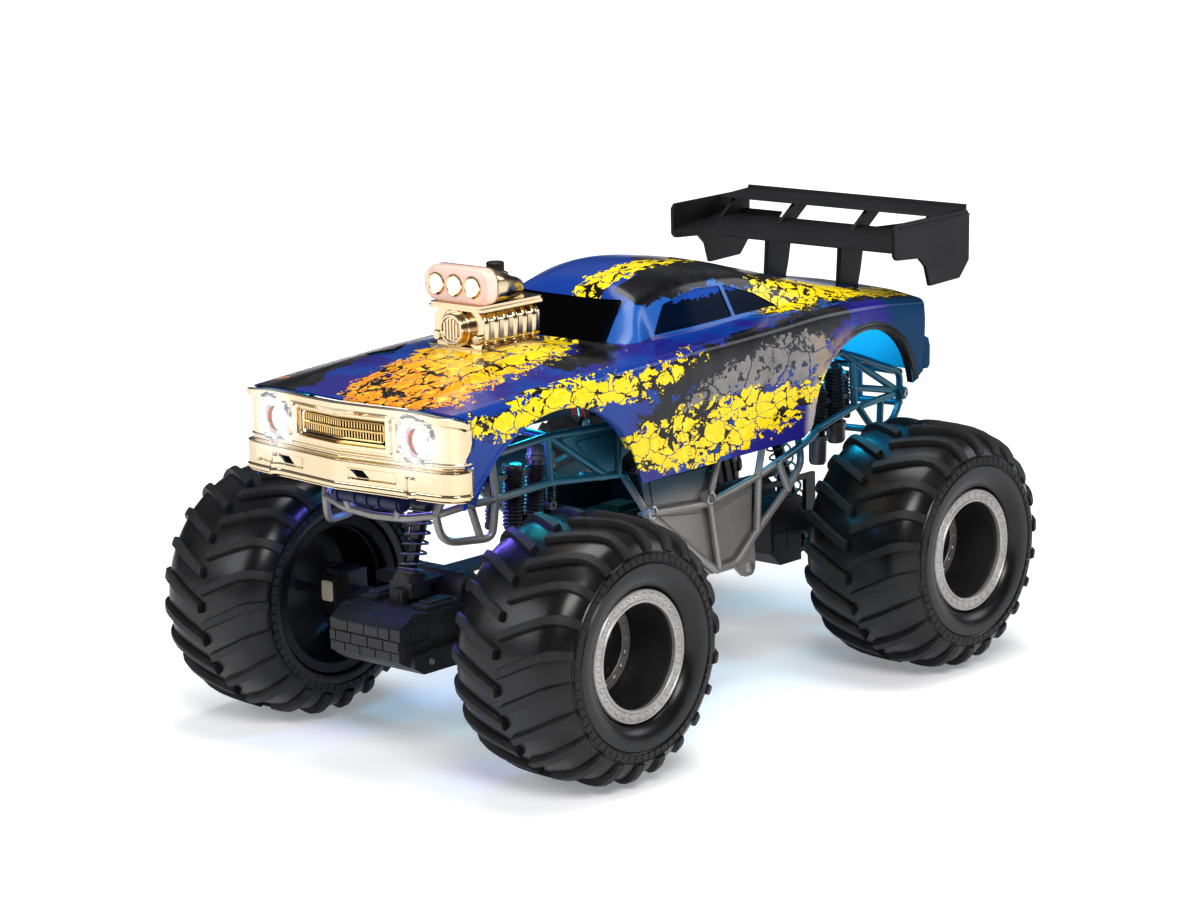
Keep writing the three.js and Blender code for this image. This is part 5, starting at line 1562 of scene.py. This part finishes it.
def add_wing():
    """Two planes between end plates, on two struts; the lower plane is shorter in the middle."""
    wing = Build()
    for side in (1, -1):
        wing.prism(rounded_outline(WING_PLATE, 0.8, 3), "y", *on_side(side, 93.0, 95.6))
        wing.prism([(-256, 281.6), (-180, 280.4), (-180, 279.4), (-256, 280.4)], "y",
                   *on_side(side, 95.2, 96.2))
    rows = []
    for y, chord in ((-WING_HALF, 1.0), (-52, 1.0), (-42, 0.76), (42, 0.76), (52, 1.0), (WING_HALF, 1.0)):
        front_x, front_z = WING_LOWER[0]
        rows.append([(front_x + (x - front_x) * chord, y, front_z + (z - front_z) * (0.5 + chord / 2))
                     for x, z in WING_LOWER])
    skin_rows(wing, rows)
    wing.prism(WING_UPPER, "y", -WING_HALF, WING_HALF)
    wing.prism([(-253.8, 283.8), (-255.8, 283.8), (-256.4, 287.4), (-255.2, 287.4)], "y", -WING_HALF,
               WING_HALF)
    strut = [(-196, 232), (-216, 232), (-219.6, 244), (-225, 269.8), (-199, 267.4), (-197.6, 250)]
    for y in WING_POST_Y:
        if abs(y) < 50:
            wing.prism(rounded_outline(strut, 1.0, 3), "y", y - 1.8, y + 1.8)
        wing.prism([(-208, 268.2), (-228, 270.2), (-247, 283.8), (-228, 282.4)], "y", y - 1.4, y + 1.4)
    wing.finish("twin_plane_wing", "chassis", ["wing"], ["rear_wing"], "black_plastic", bevel=0.45,
                angle=34)


# ------------------------------------------------------------------ tube frames

SIDE_Y, TUBE = 75.0, 2.4
TUBE_FILLET, TUBE_SIDES = 6.0, 14


def tube_run(build, points):
    """Bent frame tube with a round knob over each end."""
    build.tube(points, TUBE, TUBE_FILLET, TUBE_SIDES)
    knob = [(0, -1), (0.72, -0.7), (1.02, 0), (0.72, 0.7), (0, 1)]
    for end in (points[0], points[-1]):
        build.lathe([(TUBE * wide, TUBE * along) for wide, along in knob], end, Z_WAY, TUBE_SIDES)


def side_frame():
    """Left side frame of bent tubes with two bosses and a gusset."""
    frame_build = Build()

    def at(x, z):
        return (x, SIDE_Y, z)

    for chain in (
        [at(-14, 83), at(-34, 83), at(-54, 100), (-87, 74, 122), (-107, 70, 135), (-108, 67, 151),
         (-108, 62, 163), (-108, 62, 186)],
        [at(50, 131), at(-8, 127), at(-57, 136), (-114, 68, 147), (-132, 62, 150)],
        [(56, 62, 153.5), at(50, 131), at(-14, 83)], [at(-9, 127), at(-17, 83)],
        [at(-57, 134), at(-55, 101)], [at(-78, 140), at(-87, 122)], [at(-8, 128), at(-17, 152.5)],
        [at(-56, 135), at(-61, 152.5)],
    ):
        tube_run(frame_build, chain)
    for x, z in ((-7, 131), (48, 132)):
        frame_build.lathe([(0, -2.6), (4.6, -2.6), (4.6, 2.0), (3.9, 3.0), (2.8, 3.0), (2.6, 1.6),
                           (0, 1.6)],
                          (x, SIDE_Y, z), Y_WAY, 32)
        frame_build.lathe([(2.5, 1.2), (2.7, 3.4), (3.5, 3.8), (4.3, 3.4), (4.4, 2.6), (4.4, 1.2)],
                          (x, SIDE_Y, z), Y_WAY, 32, 1, closed=True)
        frame_build.bolt((x, SIDE_Y + 1.6, z), Y_WAY, 2.0, 1.2, 1)
    gusset = [(-30, 83), (-40, 73.4), (-48.6, 73.4), (-51.4, 78), (-50.4, 98)]
    frame_build.prism(rounded_outline(gusset, 2.2), "y", SIDE_Y - 1.4, SIDE_Y + 1.4)
    frame_build.lathe([(0, -2), (3.6, -2), (3.6, 2.0), (3.0, 2.6), (0, 2.6)], (-45, SIDE_Y, 79), Y_WAY,
                      28)
    frame_build.bolt((-45, SIDE_Y + 2.6, 79), Y_WAY, 2.1, 0.9, 1)
    return frame_build


def side_plate():
    """Left side plate with three raised panels."""
    plate = Build()
    outline = [(53, 156), (47, 131), (-13, 79.8), (-34, 79.8), (-53.2, 97), (-55, 132), (-9, 124.4),
               (-15, 156)]
    plate.prism(rounded_outline(outline, 2.0), "y", 69.6, 71.6)
    upper = [(44.5, 150), (41.5, 134.5), (-2, 130.5), (-9.6, 150)]
    lower = [(37, 127), (-9.5, 90.5), (-3.4, 121.5), (14, 123.6)]
    rear = [(-19.5, 87), (-32, 87), (-47.5, 100.5), (-49.6, 126.2), (-13, 118.8)]
    for panel in (upper, lower, rear):
        plate.prism(rounded_outline(panel, 1.6), "y", 71.2, 72.3)
    plate.block(-28, 28, 46.5, 70.4, 122, 124.2)
    return plate


def front_cage():
    """Tube frame round the front axle and the nose."""
    cage = Build()
    for chain in (
        [(60, 62, 188), (122, 60, 190), (168, 57, 186), (196, 52, 178), (205, 46.4, 155.3)],
        [(62, 62, 156.5), (121, 60, 162), (168, 60, 160), (190, 57, 160), (205, 46.4, 155.3),
         (209, 25.6, 151.2), (210, 0, 150)],
        [(74, 61, 157), (92, 60, 161)], [(122, 60, 190), (121, 60, 162)], [(122, 60, 190), (73, 61, 158)],
        [(168, 57, 186), (168, 60, 160)],
        [(205, 46.4, 155.3), (203, 47.6, 143.2), (198, 50.5, 138.3), (171, 59, 137), (168, 60, 160)],
        [(180, 51, 156), (178, 56, 138)], [(122, 60, 190), (122, 0, 194)],
        [(168, 57, 186), (168, 0, 190)], [(62, 62, 156.5), (60, 62, 188)],
        [(196, 52, 178), (196, 0, 178)], [(210, 20, 151), (212, 23, 161)],
    ):
        tube_run(cage, chain)
    cage.prism(rounded_outline([(60, 157), (60, 187), (112, 187), (104, 178), (78, 158)], 2.4), "y", 60.4,
               61.8)
    cage.prism(rounded_outline([(65, 162), (65, 183), (100, 183), (94, 176), (76, 162)], 2.0), "y", 61.4,
               62.6)
    cage.mirrored()
    cage.prism(rectangle(150, 171, -11, 11, 2), "z", 181, 190)
    cage.tube([(196, 0, 178), (196, 0, 190)], 3.0, 0, 16)
    return cage


def rear_cage():
    """Tube frame round the rear axle and under the tail."""
    cage = Build()
    for chain in (
        [(-108, 62, 188.8), (-160, 60, 199), (-188, 58, 190), (-228, 58, 175), (-228, 58, 154),
         (-219, 58, 142), (-199, 58, 140), (-180, 60, 159)],
        [(-160, 60, 199), (-226, 58, 162)], [(-174, 60, 173), (-218, 58, 164)],
        [(-183, 60, 159), (-226, 58, 161)], [(-174, 60, 190), (-176, 60, 160)],
        [(-134.5, 62, 152), (-176, 60, 160)], [(-207, 58, 160), (-206, 58, 145)],
        [(-160, 60, 199), (-160, 0, 199)], [(-228, 58, 154), (-228, 0, 152)],
        [(-199, 58, 140), (-199, 0, 138)], [(-228, 58, 175), (-228, 0, 176)],
        [(-228, 24, 176), (-228, 24, 153)],
    ):
        tube_run(cage, chain)
    cage.lathe([(0, -3), (4.4, -3), (4.4, 2.6), (3.4, 3.6), (0, 3.6)], (-227, 60, 161), Y_WAY, 28)
    cage.bolt((-227, 63.6, 161), Y_WAY, 2.2, 0.8, 1)
    cage.mirrored()
    cage.prism(rectangle(-163, -136, -11, 11, 2), "z", 186, 202)
    return cage


def add_frames():
    """Side frames and plates, front and rear cage, and the nose drum."""
    left = side_frame()
    plate = side_plate()
    for side, frame_part, plate_part in (("left", left, plate),
                                         ("right", left.flipped(), plate.flipped())):
        frame_part.finish(f"tube_side_{side}", "chassis", ["frame", "steel"], [f"side_frame_{side}"],
                          "frame_grey", angle=50)
        plate_part.finish(f"panelled_side_{side}", "chassis", ["side_plate"], [f"side_plate_{side}"],
                          "frame_grey", bevel=0.4)
    looks = ["frame", "steel"]
    front_cage().finish("tube_front", "chassis", looks, ["front_frame"], "frame_grey", angle=50)
    rear_cage().finish("tube_rear", "chassis", looks, ["rear_frame"], "frame_grey", angle=50)
    drum = Build().tube([(212, -28, 161), (212, 28, 161)], 4.8, 0, 32)
    for y in (-25, -10, 0, 10, 25):
        drum.lathe([(4.4, -1.2), (5.7, -1.0), (5.9, 0), (5.7, 1.0), (4.4, 1.2)], (212, y, 161), Y_WAY, 32,
                   closed=True)
    drum.finish("ribbed_nose_drum", "chassis", ["drum"], ["nose_drum"], "black_plastic", angle=40)


# ------------------------------------------------------------------ shocks


def ribbed_shock(build, foot, top, radius, sleeve=0.0):
    """Dummy damper: ribbed boot with a smooth sleeve over its upper part and an eye at its foot."""
    foot, top = np.array(foot, float), np.array(top, float)
    length = float(np.linalg.norm(top - foot))
    way = unit(top - foot)
    start, end = 4.0, length * (1 - sleeve) - 3.0
    profile = [(0, 0), (radius * 0.5, 0), (radius * 0.55, 2.0), (radius * 0.82, 2.6),
               (radius * 0.86, start)]
    count = max(2, round((end - start) / 2.3))
    for k in range(count):
        low, pitch = start + (end - start) * k / count, (end - start) / count
        for wide, share in ((0.72, 0.06), (0.94, 0.26), (1.0, 0.5), (0.94, 0.74), (0.72, 0.94)):
            profile.append((radius * wide, low + pitch * share))
    profile += [(radius * 0.74, end), (radius * 0.74, length - 1.5), (0, length - 1.5)]
    build.lathe(profile, foot, way, 28, 0)
    cap = [(0, 0), (radius * 0.98, 0), (radius * 1.02, 0.8), (radius * 1.02, 2.6)]
    if sleeve:
        upper = length * sleeve
        build.lathe(cap + [(radius * 0.9, 3.4), (radius * 0.88, upper - 2), (radius * 0.7, upper),
                           (0, upper)],
                    top - way * upper, way, 28, 1)
    else:
        build.lathe(cap + [(radius * 0.7, 3.6), (0, 3.6)], top - way * 4, way, 28, 0)
    build.lathe([(1.2, -2.4), (3.0, -2.4), (3.0, 2.4), (1.2, 2.4)], foot + way * 0.8, Y_WAY, 20,
                closed=True)


def add_dummy_shocks():
    """Groups of ribbed dampers beside both axles."""
    front, rear = Build(), Build()
    for x, y, top, low, radius, lean, sleeve in (
        (162, 49.5, 161, 141, 3.4, 0, 0.3), (143, 51, 177, 134, 6.2, 2, 0.0),
        (121, 50, 185, 139, 6.2, 5, 0.22), (109, 50, 178, 144, 3.2, 1, 0.3),
    ):
        ribbed_shock(front, (x + lean, y, low), (x, y, top), radius, sleeve)
    front.prism(rectangle(104, 165, 168, 171, 0.8, 2), "y", 47.5, 52.5)
    front.prism(rectangle(158, 165, 158, 171, 0.8, 2), "y", 47.5, 52.5)
    for x, y, top, low, radius, lean, sleeve in (
        (-149, 51.5, 177, 125, 6.6, 2, 0.36), (-166, 50, 190, 136, 7.2, -3, 0.26),
        (-181, 48, 180, 150, 3.2, -2, 0.3),
    ):
        ribbed_shock(rear, (x, y, top), (x + lean, y, low), radius, sleeve)
    rear.prism(rectangle(-179, -145, 164, 167, 0.8, 2), "y", 47, 52)
    looks = ["shock", "sleeve"]
    for where, build in (("front", front), ("rear", rear)):
        for side, part in (("left", build), ("right", build.flipped())):
            part.finish(f"ribbed_shocks_{where}_{side}", "chassis", looks,
                        [f"{where}_dummy_shock_{side}"], "black_plastic", angle=40)


def coil(foot, top, radius, wire, turns, low, high):
    """Spring wire with a flat turn at each end."""
    foot, way = np.array(foot, float), unit(np.array(top, float) - np.array(foot, float))
    first, second = across(way)
    path = []
    steps = int(turns * 28)
    for k in range(steps + 1):
        share = k / steps
        flat = min(1.0, max(0.0, (share * turns - 0.9) / (turns - 1.8)))
        angle = 2 * math.pi * turns * share
        settled = wire * 0.75 * (min(0.9, share * turns) / 0.9 - 1)
        rise = low + wire + (high - low - 2 * wire) * flat + settled
        path.append(foot + way * rise + (first * math.cos(angle) + second * math.sin(angle)) * radius)
    return Build().tube(path, wire, 0, 8, 0)


def add_main_shocks():
    """Body, shaft and spring of the shock over each axle."""
    for tag, top, foot, mount, turns in (
        ("front", (168.5, 0, 152), (182, 0, 109), 181, 7.5), ("rear", (-160, 0, 150), (-187, 0, 82), 186,
                                                              10.5),
    ):
        start, end = np.array(top, float), np.array(foot, float)
        way, length = unit(end - start), float(np.linalg.norm(end - start))
        body = Build().lathe([
            (0, -7), (4.2, -7), (4.6, -2), (8.8, -1.0), (9.3, 0), (9.3, 4.6), (8.6, 5.8), (5.2, 6.2),
            (5.0, 10), (5.2, 10.6), (5.0, 11.2), (5.0, 22.6), (4.4, 24.0), (3.1, 24.0)], start, way, 36,
            0)
        head = start - way * ((mount - top[2]) / -way[2])
        body.tube([start - way * 1.0, head], 5.2, 0, 24)
        body.finish(f"turned_{tag}_shock_body", "chassis", ["shock"], [f"{tag}_shock_body"], "dark_steel",
                    angle=36)
        shaft = Build().lathe([(0, 0), (9.2, 0), (9.4, 0.6), (9.4, 1.6), (8.6, 2.3), (4.2, 3.0),
                               (3.6, 5.0), (3.9, 5.6), (3.9, length - 14), (0, length - 14)], end, -way,
                               36, 0)
        shaft.finish(f"turned_{tag}_shock_shaft", f"{tag}_carrier", ["shock"], [f"{tag}_shock_shaft"],
                     "dark_steel", angle=36)
        high = length - 6.2
        spring = coil(foot, top, 7.6, 0.72, turns, 2.4, high)
        piece = spring.finish(f"wound_{tag}_spring", f"{tag}_carrier", ["sleeve"], [f"{tag}_spring"],
                              "dark_steel", angle=60)
        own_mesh(piece)


# ------------------------------------------------------------------ axles and steering

KINGPIN_Y = 86


def brick_face(build, x0, x1, y0, y1, z0, z1, columns, rows, axis, gap=0.7, lift=0.8):
    """Raised panels side by side over one flat face."""
    faces = {"x": (y0, y1, z0, z1, x0), "y": (x0, x1, z0, z1, y0), "z": (x0, x1, y0, y1, z0)}
    a0, a1, b0, b1, level = faces[axis]
    wide, tall = (a1 - a0) / columns, (b1 - b0) / rows
    for c in range(columns):
        for r in range(rows):
            panel = rectangle(a0 + wide * c + gap / 2, a0 + wide * (c + 1) - gap / 2,
                              b0 + tall * r + gap / 2, b0 + tall * (r + 1) - gap / 2)
            build.prism(panel, axis, *sorted((level, level + lift)))


def tube_rib(build, x, y, radius, crest, half):
    """Low ring round an axle tube."""
    ring = [(radius, -half), (crest, 0.2 - half), (crest, half - 0.2), (radius, half)]
    build.lathe(ring, (x, y, AXLE_Z), Y_WAY, 28, closed=True)


def add_front_axle():
    """Panelled housing with its tubes, yokes, hump and skid."""
    axle = Build()
    case = [(150, 58), (205, 58), (221.4, 66), (221.4, 86), (212, 92.4), (150, 92.4)]
    axle.prism(case, "y", -29.4, 29.4)
    for low, high, splits, proud in ((66.4, 72.4, (-29.4, -17, -4, 9, 22, 29.4), 0.9),
                                     (72.4, 79.2, (-29.4, -24, -11, 3, 16, 29.4), 1.4),
                                     (79.2, 86.0, (-25, -14, 0, 12, 21), 1.0)):
        for inner, outer in zip(splits, splits[1:]):
            brick_face(axle, 221.2, 0, inner, outer, low, high, 1, 1, "x", 0.8, proud)
    hump = [(149, 90), (149, 104), (153, 107.5), (160, 107.5), (165.5, 101), (166, 90)]
    axle.prism(hump, "y", -26, 26)
    brick_face(axle, 151, 161, -25, 25, 107.3, 0, 1, 4, "z", 0.9, 0.9)
    for side in (1, -1):
        arm = [(151, side * 24), (163, side * 24), (160, side * 52), (153, side * 52)]
        axle.prism(arm, "z", 93, 99)
        axle.prism([(153, side * 30), (162, side * 30), (159.5, side * 48), (154, side * 48)], "z", 98.8,
                   100.6)
    for side in (1, -1):
        brick_face(axle, 197, 220, side * 29.2, 0, 66.6, 86.6, 2, 2, "y", 0.9, side * 0.9)
        brick_face(axle, 152, 197, side * 29.2, 0, 74.5, 91.6, 3, 1, "y", 0.9, side * 0.9)
        axle.prism(rectangle(AXLE_X - 8, AXLE_X + 8, 62, 98), "y", *on_side(side, 66, 73))
        for low in (62, 94):
            axle.block(AXLE_X - 8, AXLE_X + 8, *on_side(side, 72, 79.6), low, low + 4)
            axle.lathe([(2.85, 0), (8, 0), (8, 4), (2.85, 4)], (AXLE_X, side * KINGPIN_Y, low), Z_WAY, 28,
                       closed=True)
            axle.block(AXLE_X - 7.8, AXLE_X + 7.8, *on_side(side, 79, 82.4), low, low + 4)
        axle.tube([(AXLE_X, side * 29, AXLE_Z), (AXLE_X, side * 67, AXLE_Z)], 7.4, 0, 28)
        for y in (38, 48, 58):
            tube_rib(axle, AXLE_X, side * y, 7.2, 8.6, 1.4)
        for x, z in ((155.5, 70), (200, 62)):
            axle.bolt((x, side * 30.4 if z > 65 else side * 34, z + 2), (0, side, 0), 2.0, 0.9, 1, 16)
    brick_face(axle, 199, 211, -29.0, 29.0, 92.2, 0, 1, 5, "z", 0.9, 1.0)
    brick_face(axle, 152, 166, -29.0, 29.0, 92.2, 0, 1, 4, "z", 0.9, 1.6)
    for side in (1, -1):
        axle.prism(rectangle(167, 197, side * 15, side * 28, 2), "z", 92, 95.4)
        axle.block(172, 192, *on_side(side, 17, 26), 95.2, 97.2)
    skid = [(148, 66), (153, 57), (206, 57), (214, 62), (214, 69), (148, 72)]
    axle.prism(skid, "y", -33.6, 33.6)
    for x in (169.5, 190.6):
        axle.prism(rectangle(-5.5, 5.5, 91, 101.6, 2.2), "x", x, x + 3.9)
    axle.finish("panelled_front_axle", "front_axle", ["axle", "steel"], ["front_axle_housing"],
                "black_plastic", bevel=0.5)


def add_rear_axle():
    """Panelled housing round the drive gears, with its tubes."""
    axle = Build()
    axle.prism([(-152, 57), (-130, 57), (-120, 66), (-120, 94), (-128, 101), (-152, 101)], "y", -33, 33)
    axle.prism([(-187, 66), (-180, 57), (-145, 57), (-145, 101), (-180, 101), (-187, 94)], "y", -33, -17)
    for side in (1, -1):
        brick_face(axle, -150, -122, side * 32.8, 0, 67, 93, 2, 2, "y", 0.9, side * 0.9)
        axle.tube([(-AXLE_X, side * 16, AXLE_Z), (-AXLE_X, side * 74, AXLE_Z)], 8.2, 0, 28)
        for y in (44, 56, 70):
            tube_rib(axle, -AXLE_X, side * y, 8.0, 9.2, 1.6)
    brick_face(axle, -150, -130, -32, 32, 100.8, 0, 1, 5, "z", 0.9, 0.9)
    axle.tube([(-AXLE_X, -17, AXLE_Z), (-AXLE_X, 17, AXLE_Z)], 8.2, 0, 28)
    axle.prism(rectangle(-201, -145, 55, 58.5), "y", -15, 15)
    axle.prism(rectangle(-171, -150, 57, 76), "y", -12, 12)
    for x0, x1 in ((-180.7, -176), (-201, -193.6)):
        axle.prism(rectangle(-6, 6, 57, 71, 1.6), "x", x0, x1)
    for y in (-28, -22):
        axle.bolt((-187, y, 80), (-1, 0, 0), 1.8, 0.8, 1, 16)
    axle.finish("panelled_rear_axle", "rear_axle", ["axle", "steel"], ["rear_axle_housing"],
                "black_plastic", bevel=0.5)


def add_knuckle(tag, side):
    """Steering knuckle with its kingpin, wheel shaft and arm."""
    part = Build()
    part.prism(rectangle(AXLE_X - 6, AXLE_X + 6, 66.6, 93.4, 2.0), "y",
               *on_side(side, 80.5, 94), 2)
    part.prism(rectangle(side * 87 - 4.6, side * 87 + 4.6, 76, 89, 2.0), "x", AXLE_X + 5.6, AXLE_X + 7.2)
    part.tube([(AXLE_X, side * KINGPIN_Y, 62.6), (AXLE_X, side * KINGPIN_Y, 97.4)], 2.5, 0, 24, 1)
    part.lathe([(6.4, 0), (6.4, 4.0), (4.6, 5.4), (3.0, 5.8), (3.0, 38.0), (2.4, 38.6), (0, 38.6)],
               (AXLE_X, side * 94, AXLE_Z), (0, side, 0), 32, 1)
    part.prism(rectangle(AXLE_X - 26, AXLE_X - 4, side * 82, side * 89, 2.6), "z", 76, 80)
    part.tube([(AXLE_X - 22, side * 85, 70.2), (AXLE_X - 22, side * 85, 78)], 1.8, 0, 20, 1)
    part.finish(f"moulded_knuckle_{tag}", f"{tag}_knuckle", ["nylon", "steel", "axle"],
                [f"knuckle_{tag}"],
                "nylon", bevel=0.4)


def add_lamp_leads():
    """Leads to the headlamps, clipped side by side under the hood."""
    leads = Build()
    for index in range(5):
        y, z = 44.0 - 2.4 * index, 212.0 + 0.5 * (index % 2)
        path = [(64, y - 6, z - 22), (72, y - 2, z - 4), (84, y, z), (112, y, z + 1), (128, y - 3, z - 1)]
        leads.tube(path, 0.6, 6.0, 10, 1 if index == 2 else 0)
    for x in (84, 110):
        leads.prism(rectangle(32.6, 45.6, 210.6, 214.4, 1.0, 2), "x",
                    x, x + 3.0, 2)
    leads.finish("lamp_leads", "chassis", ["red", "white", "black"], slot="black_plastic")


add_wing()
add_lamp_leads()
add_frames()
add_dummy_shocks()
add_main_shocks()
add_front_axle()
add_rear_axle()
add_knuckle("left", 1)
add_knuckle("right", -1)

# ------------------------------------------------------------------ pieces kept from the CAD model

KEPT = {
    "chassis_tub": "black", "battery_door": "black", "power_switch": "lug", "battery_pack": "wrap",
    "circuit_board": "board", "front_cradle": "axle", "rear_cradle": "axle", "steering_motor": "steel",
    "tie_rod": "black", "rear_axle_shaft": "steel", "drive_gear": "nylon", "motor_pinion": "steel",
    "drive_motor": "steel",
}
for name, look in KEPT.items():
    kept = frame["nodes"][name]
    kept.data.materials.clear()
    kept.data.materials.append(LOOKS[look])


# ------------------------------------------------------------------ studio and camera


FLOOR_HALF = 9000


def add_studio():
    """Pale floor, plain sky, softboxes and the small lamps under the shell."""
    scene = bpy.context.scene
    scene.view_settings.view_transform = "Standard"
    scene.view_settings.look = "Medium High Contrast"
    edges = (-FLOOR_HALF, FLOOR_HALF)
    ground = Build().grid([[(x, y, 0.0) for y in edges] for x in edges])
    floor = bpy.data.objects.new("studio_floor", ground.mesh("studio_floor", []))
    scene.collection.objects.link(floor)
    pale = Nodes("floor_pale")
    pale.set(Base_Color=pale.mix(pale.noise(3.0), (0.90, 0.90, 0.91), (0.92, 0.92, 0.92)), Roughness=0.6,
             Specular_IOR_Level=0.2)
    pale.put(pale.shader.inputs["Emission Color"], (0.95, 0.96, 1.0))
    # floor glow rises from 0.24 near the truck to 0.80 far off: far away it keeps the floor white, and
    # near the truck the weaker glow is a painted shadow round it
    far = pale.vector("LENGTH", pale.coords)
    pale.put(pale.shader.inputs["Emission Strength"], pale.span(far, 0.2, 2.4, 0.24, 0.80, smooth=True))
    floor.data.materials.append(pale.material)
    world = bpy.data.worlds.new("studio_world")
    world.use_nodes = True
    scene.world = world
    tree = world.node_tree
    sky = tree.nodes["Background"]
    sky.inputs["Color"].default_value = (0.95, 0.97, 1.0, 1.0)
    height = tree.nodes.new("ShaderNodeSeparateXYZ")
    tree.links.new(tree.nodes.new("ShaderNodeTexCoord").outputs["Generated"], height.inputs[0])
    bands = tree.nodes.new("ShaderNodeValToRGB")
    tree.links.new(height.outputs[2], bands.inputs[0])
    stops = ((0.0, 0.40), (0.05, 0.30), (0.10, 0.04), (0.30, 0.08), (0.46, 0.26), (1.0, 0.22))
    while len(bands.color_ramp.elements) < len(stops):
        bands.color_ramp.elements.new(0.5)
    for stop, (place, value) in zip(bands.color_ramp.elements, stops):
        stop.position, stop.color = place, (value, value, value, 1.0)
    ray = tree.nodes.new("ShaderNodeLightPath")
    level = tree.nodes.new("ShaderNodeMix")
    tree.links.new(ray.outputs["Is Camera Ray"], level.inputs[0])
    tree.links.new(bands.outputs[0], level.inputs[2])
    level.inputs[3].default_value = 1.05
    tree.links.new(level.outputs[0], sky.inputs["Strength"])
    for name, at, aim, wide, tall, power, colour in (
        ("key_softbox", (1.1, 1.3, 1.5), (0, 0, 0.12), 1.0, 0.7, 24.0, (1.0, 0.99, 0.97)),
        ("fill_softbox", (1.6, -0.9, 0.9), (0, 0, 0.12), 0.9, 0.9, 9.0, (0.97, 0.98, 1.0)),
        ("top_softbox", (-0.1, 0.0, 1.7), (0, 0, 0.1), 1.3, 0.7, 16.0, (1.0, 1.0, 1.0)),
        ("rim_softbox", (-1.5, 1.0, 0.9), (0, 0, 0.15), 0.8, 0.8, 6.0, (0.97, 0.98, 1.0)),
    ):
        light = bpy.data.lights.new(name, "AREA")
        light.shape = "RECTANGLE"
        light.size, light.size_y = wide, tall
        light.energy = power
        light.color = colour
        lamp = bpy.data.objects.new(name, light)
        scene.collection.objects.link(lamp)
        lamp.location = at
        lamp.rotation_euler = (Vector(aim) - Vector(at)).to_track_quat("-Z", "Y").to_euler()
    for name, at, power, colour, size in (
        ("led_front", (168, 18, 182), 0.17, (0.22, 0.16, 1.0), 12),
        ("led_front_far", (168, -18, 182), 0.17, (0.22, 0.16, 1.0), 12),
        ("led_arch", (112, 30, 200), 0.18, (0.03, 0.65, 0.9), 12),
        ("led_arch_far", (112, -30, 200), 0.18, (0.03, 0.65, 0.9), 12),
        ("led_rear", (-165, 32, 212), 0.26, (0.02, 0.62, 0.9), 12),
        ("led_rear_far", (-165, -32, 212), 0.26, (0.02, 0.62, 0.9), 12),
    ):
        light = bpy.data.lights.new(name, "POINT")
        light.energy, light.color = power, colour
        light.shadow_soft_size = size * MM
        lamp = bpy.data.objects.new(name, light)
        scene.collection.objects.link(lamp)
        lamp.location = ((at[0] + SHIFT) * MM, at[1] * MM, at[2] * MM)


# sensor and focal length in millimetres, place in metres, roll in radians
CAMERA_SENSOR, CAMERA_LENS = 36.0, 105.39
CAMERA_SHIFT = (-0.00894, -0.00248)
CAMERA_AT = (1.63233, 1.46029, 0.61281)
CAMERA_AHEAD = (-0.72825, -0.65395, -0.20495)
CAMERA_ROLL = -0.0236


def add_camera():
    """Camera before the truck's front left corner, slightly above it."""
    camera = bpy.data.cameras.new("photo_camera")
    camera.sensor_width, camera.lens = CAMERA_SENSOR, CAMERA_LENS
    camera.shift_x, camera.shift_y = CAMERA_SHIFT
    eye = bpy.data.objects.new("photo_camera", camera)
    bpy.context.scene.collection.objects.link(eye)
    ahead = Vector(CAMERA_AHEAD).normalized()
    flat = ahead.cross(Vector(Z_WAY)).normalized()
    upward = flat.cross(ahead)
    right = flat * math.cos(CAMERA_ROLL) + upward * math.sin(CAMERA_ROLL)
    above = upward * math.cos(CAMERA_ROLL) - flat * math.sin(CAMERA_ROLL)
    turn = Matrix((right, above, -ahead)).transposed().to_4x4()
    eye.matrix_world = Matrix.Translation(CAMERA_AT) @ turn
    camera.clip_start, camera.clip_end = 0.02, 60
    bpy.context.scene.camera = eye


add_studio()
add_camera()
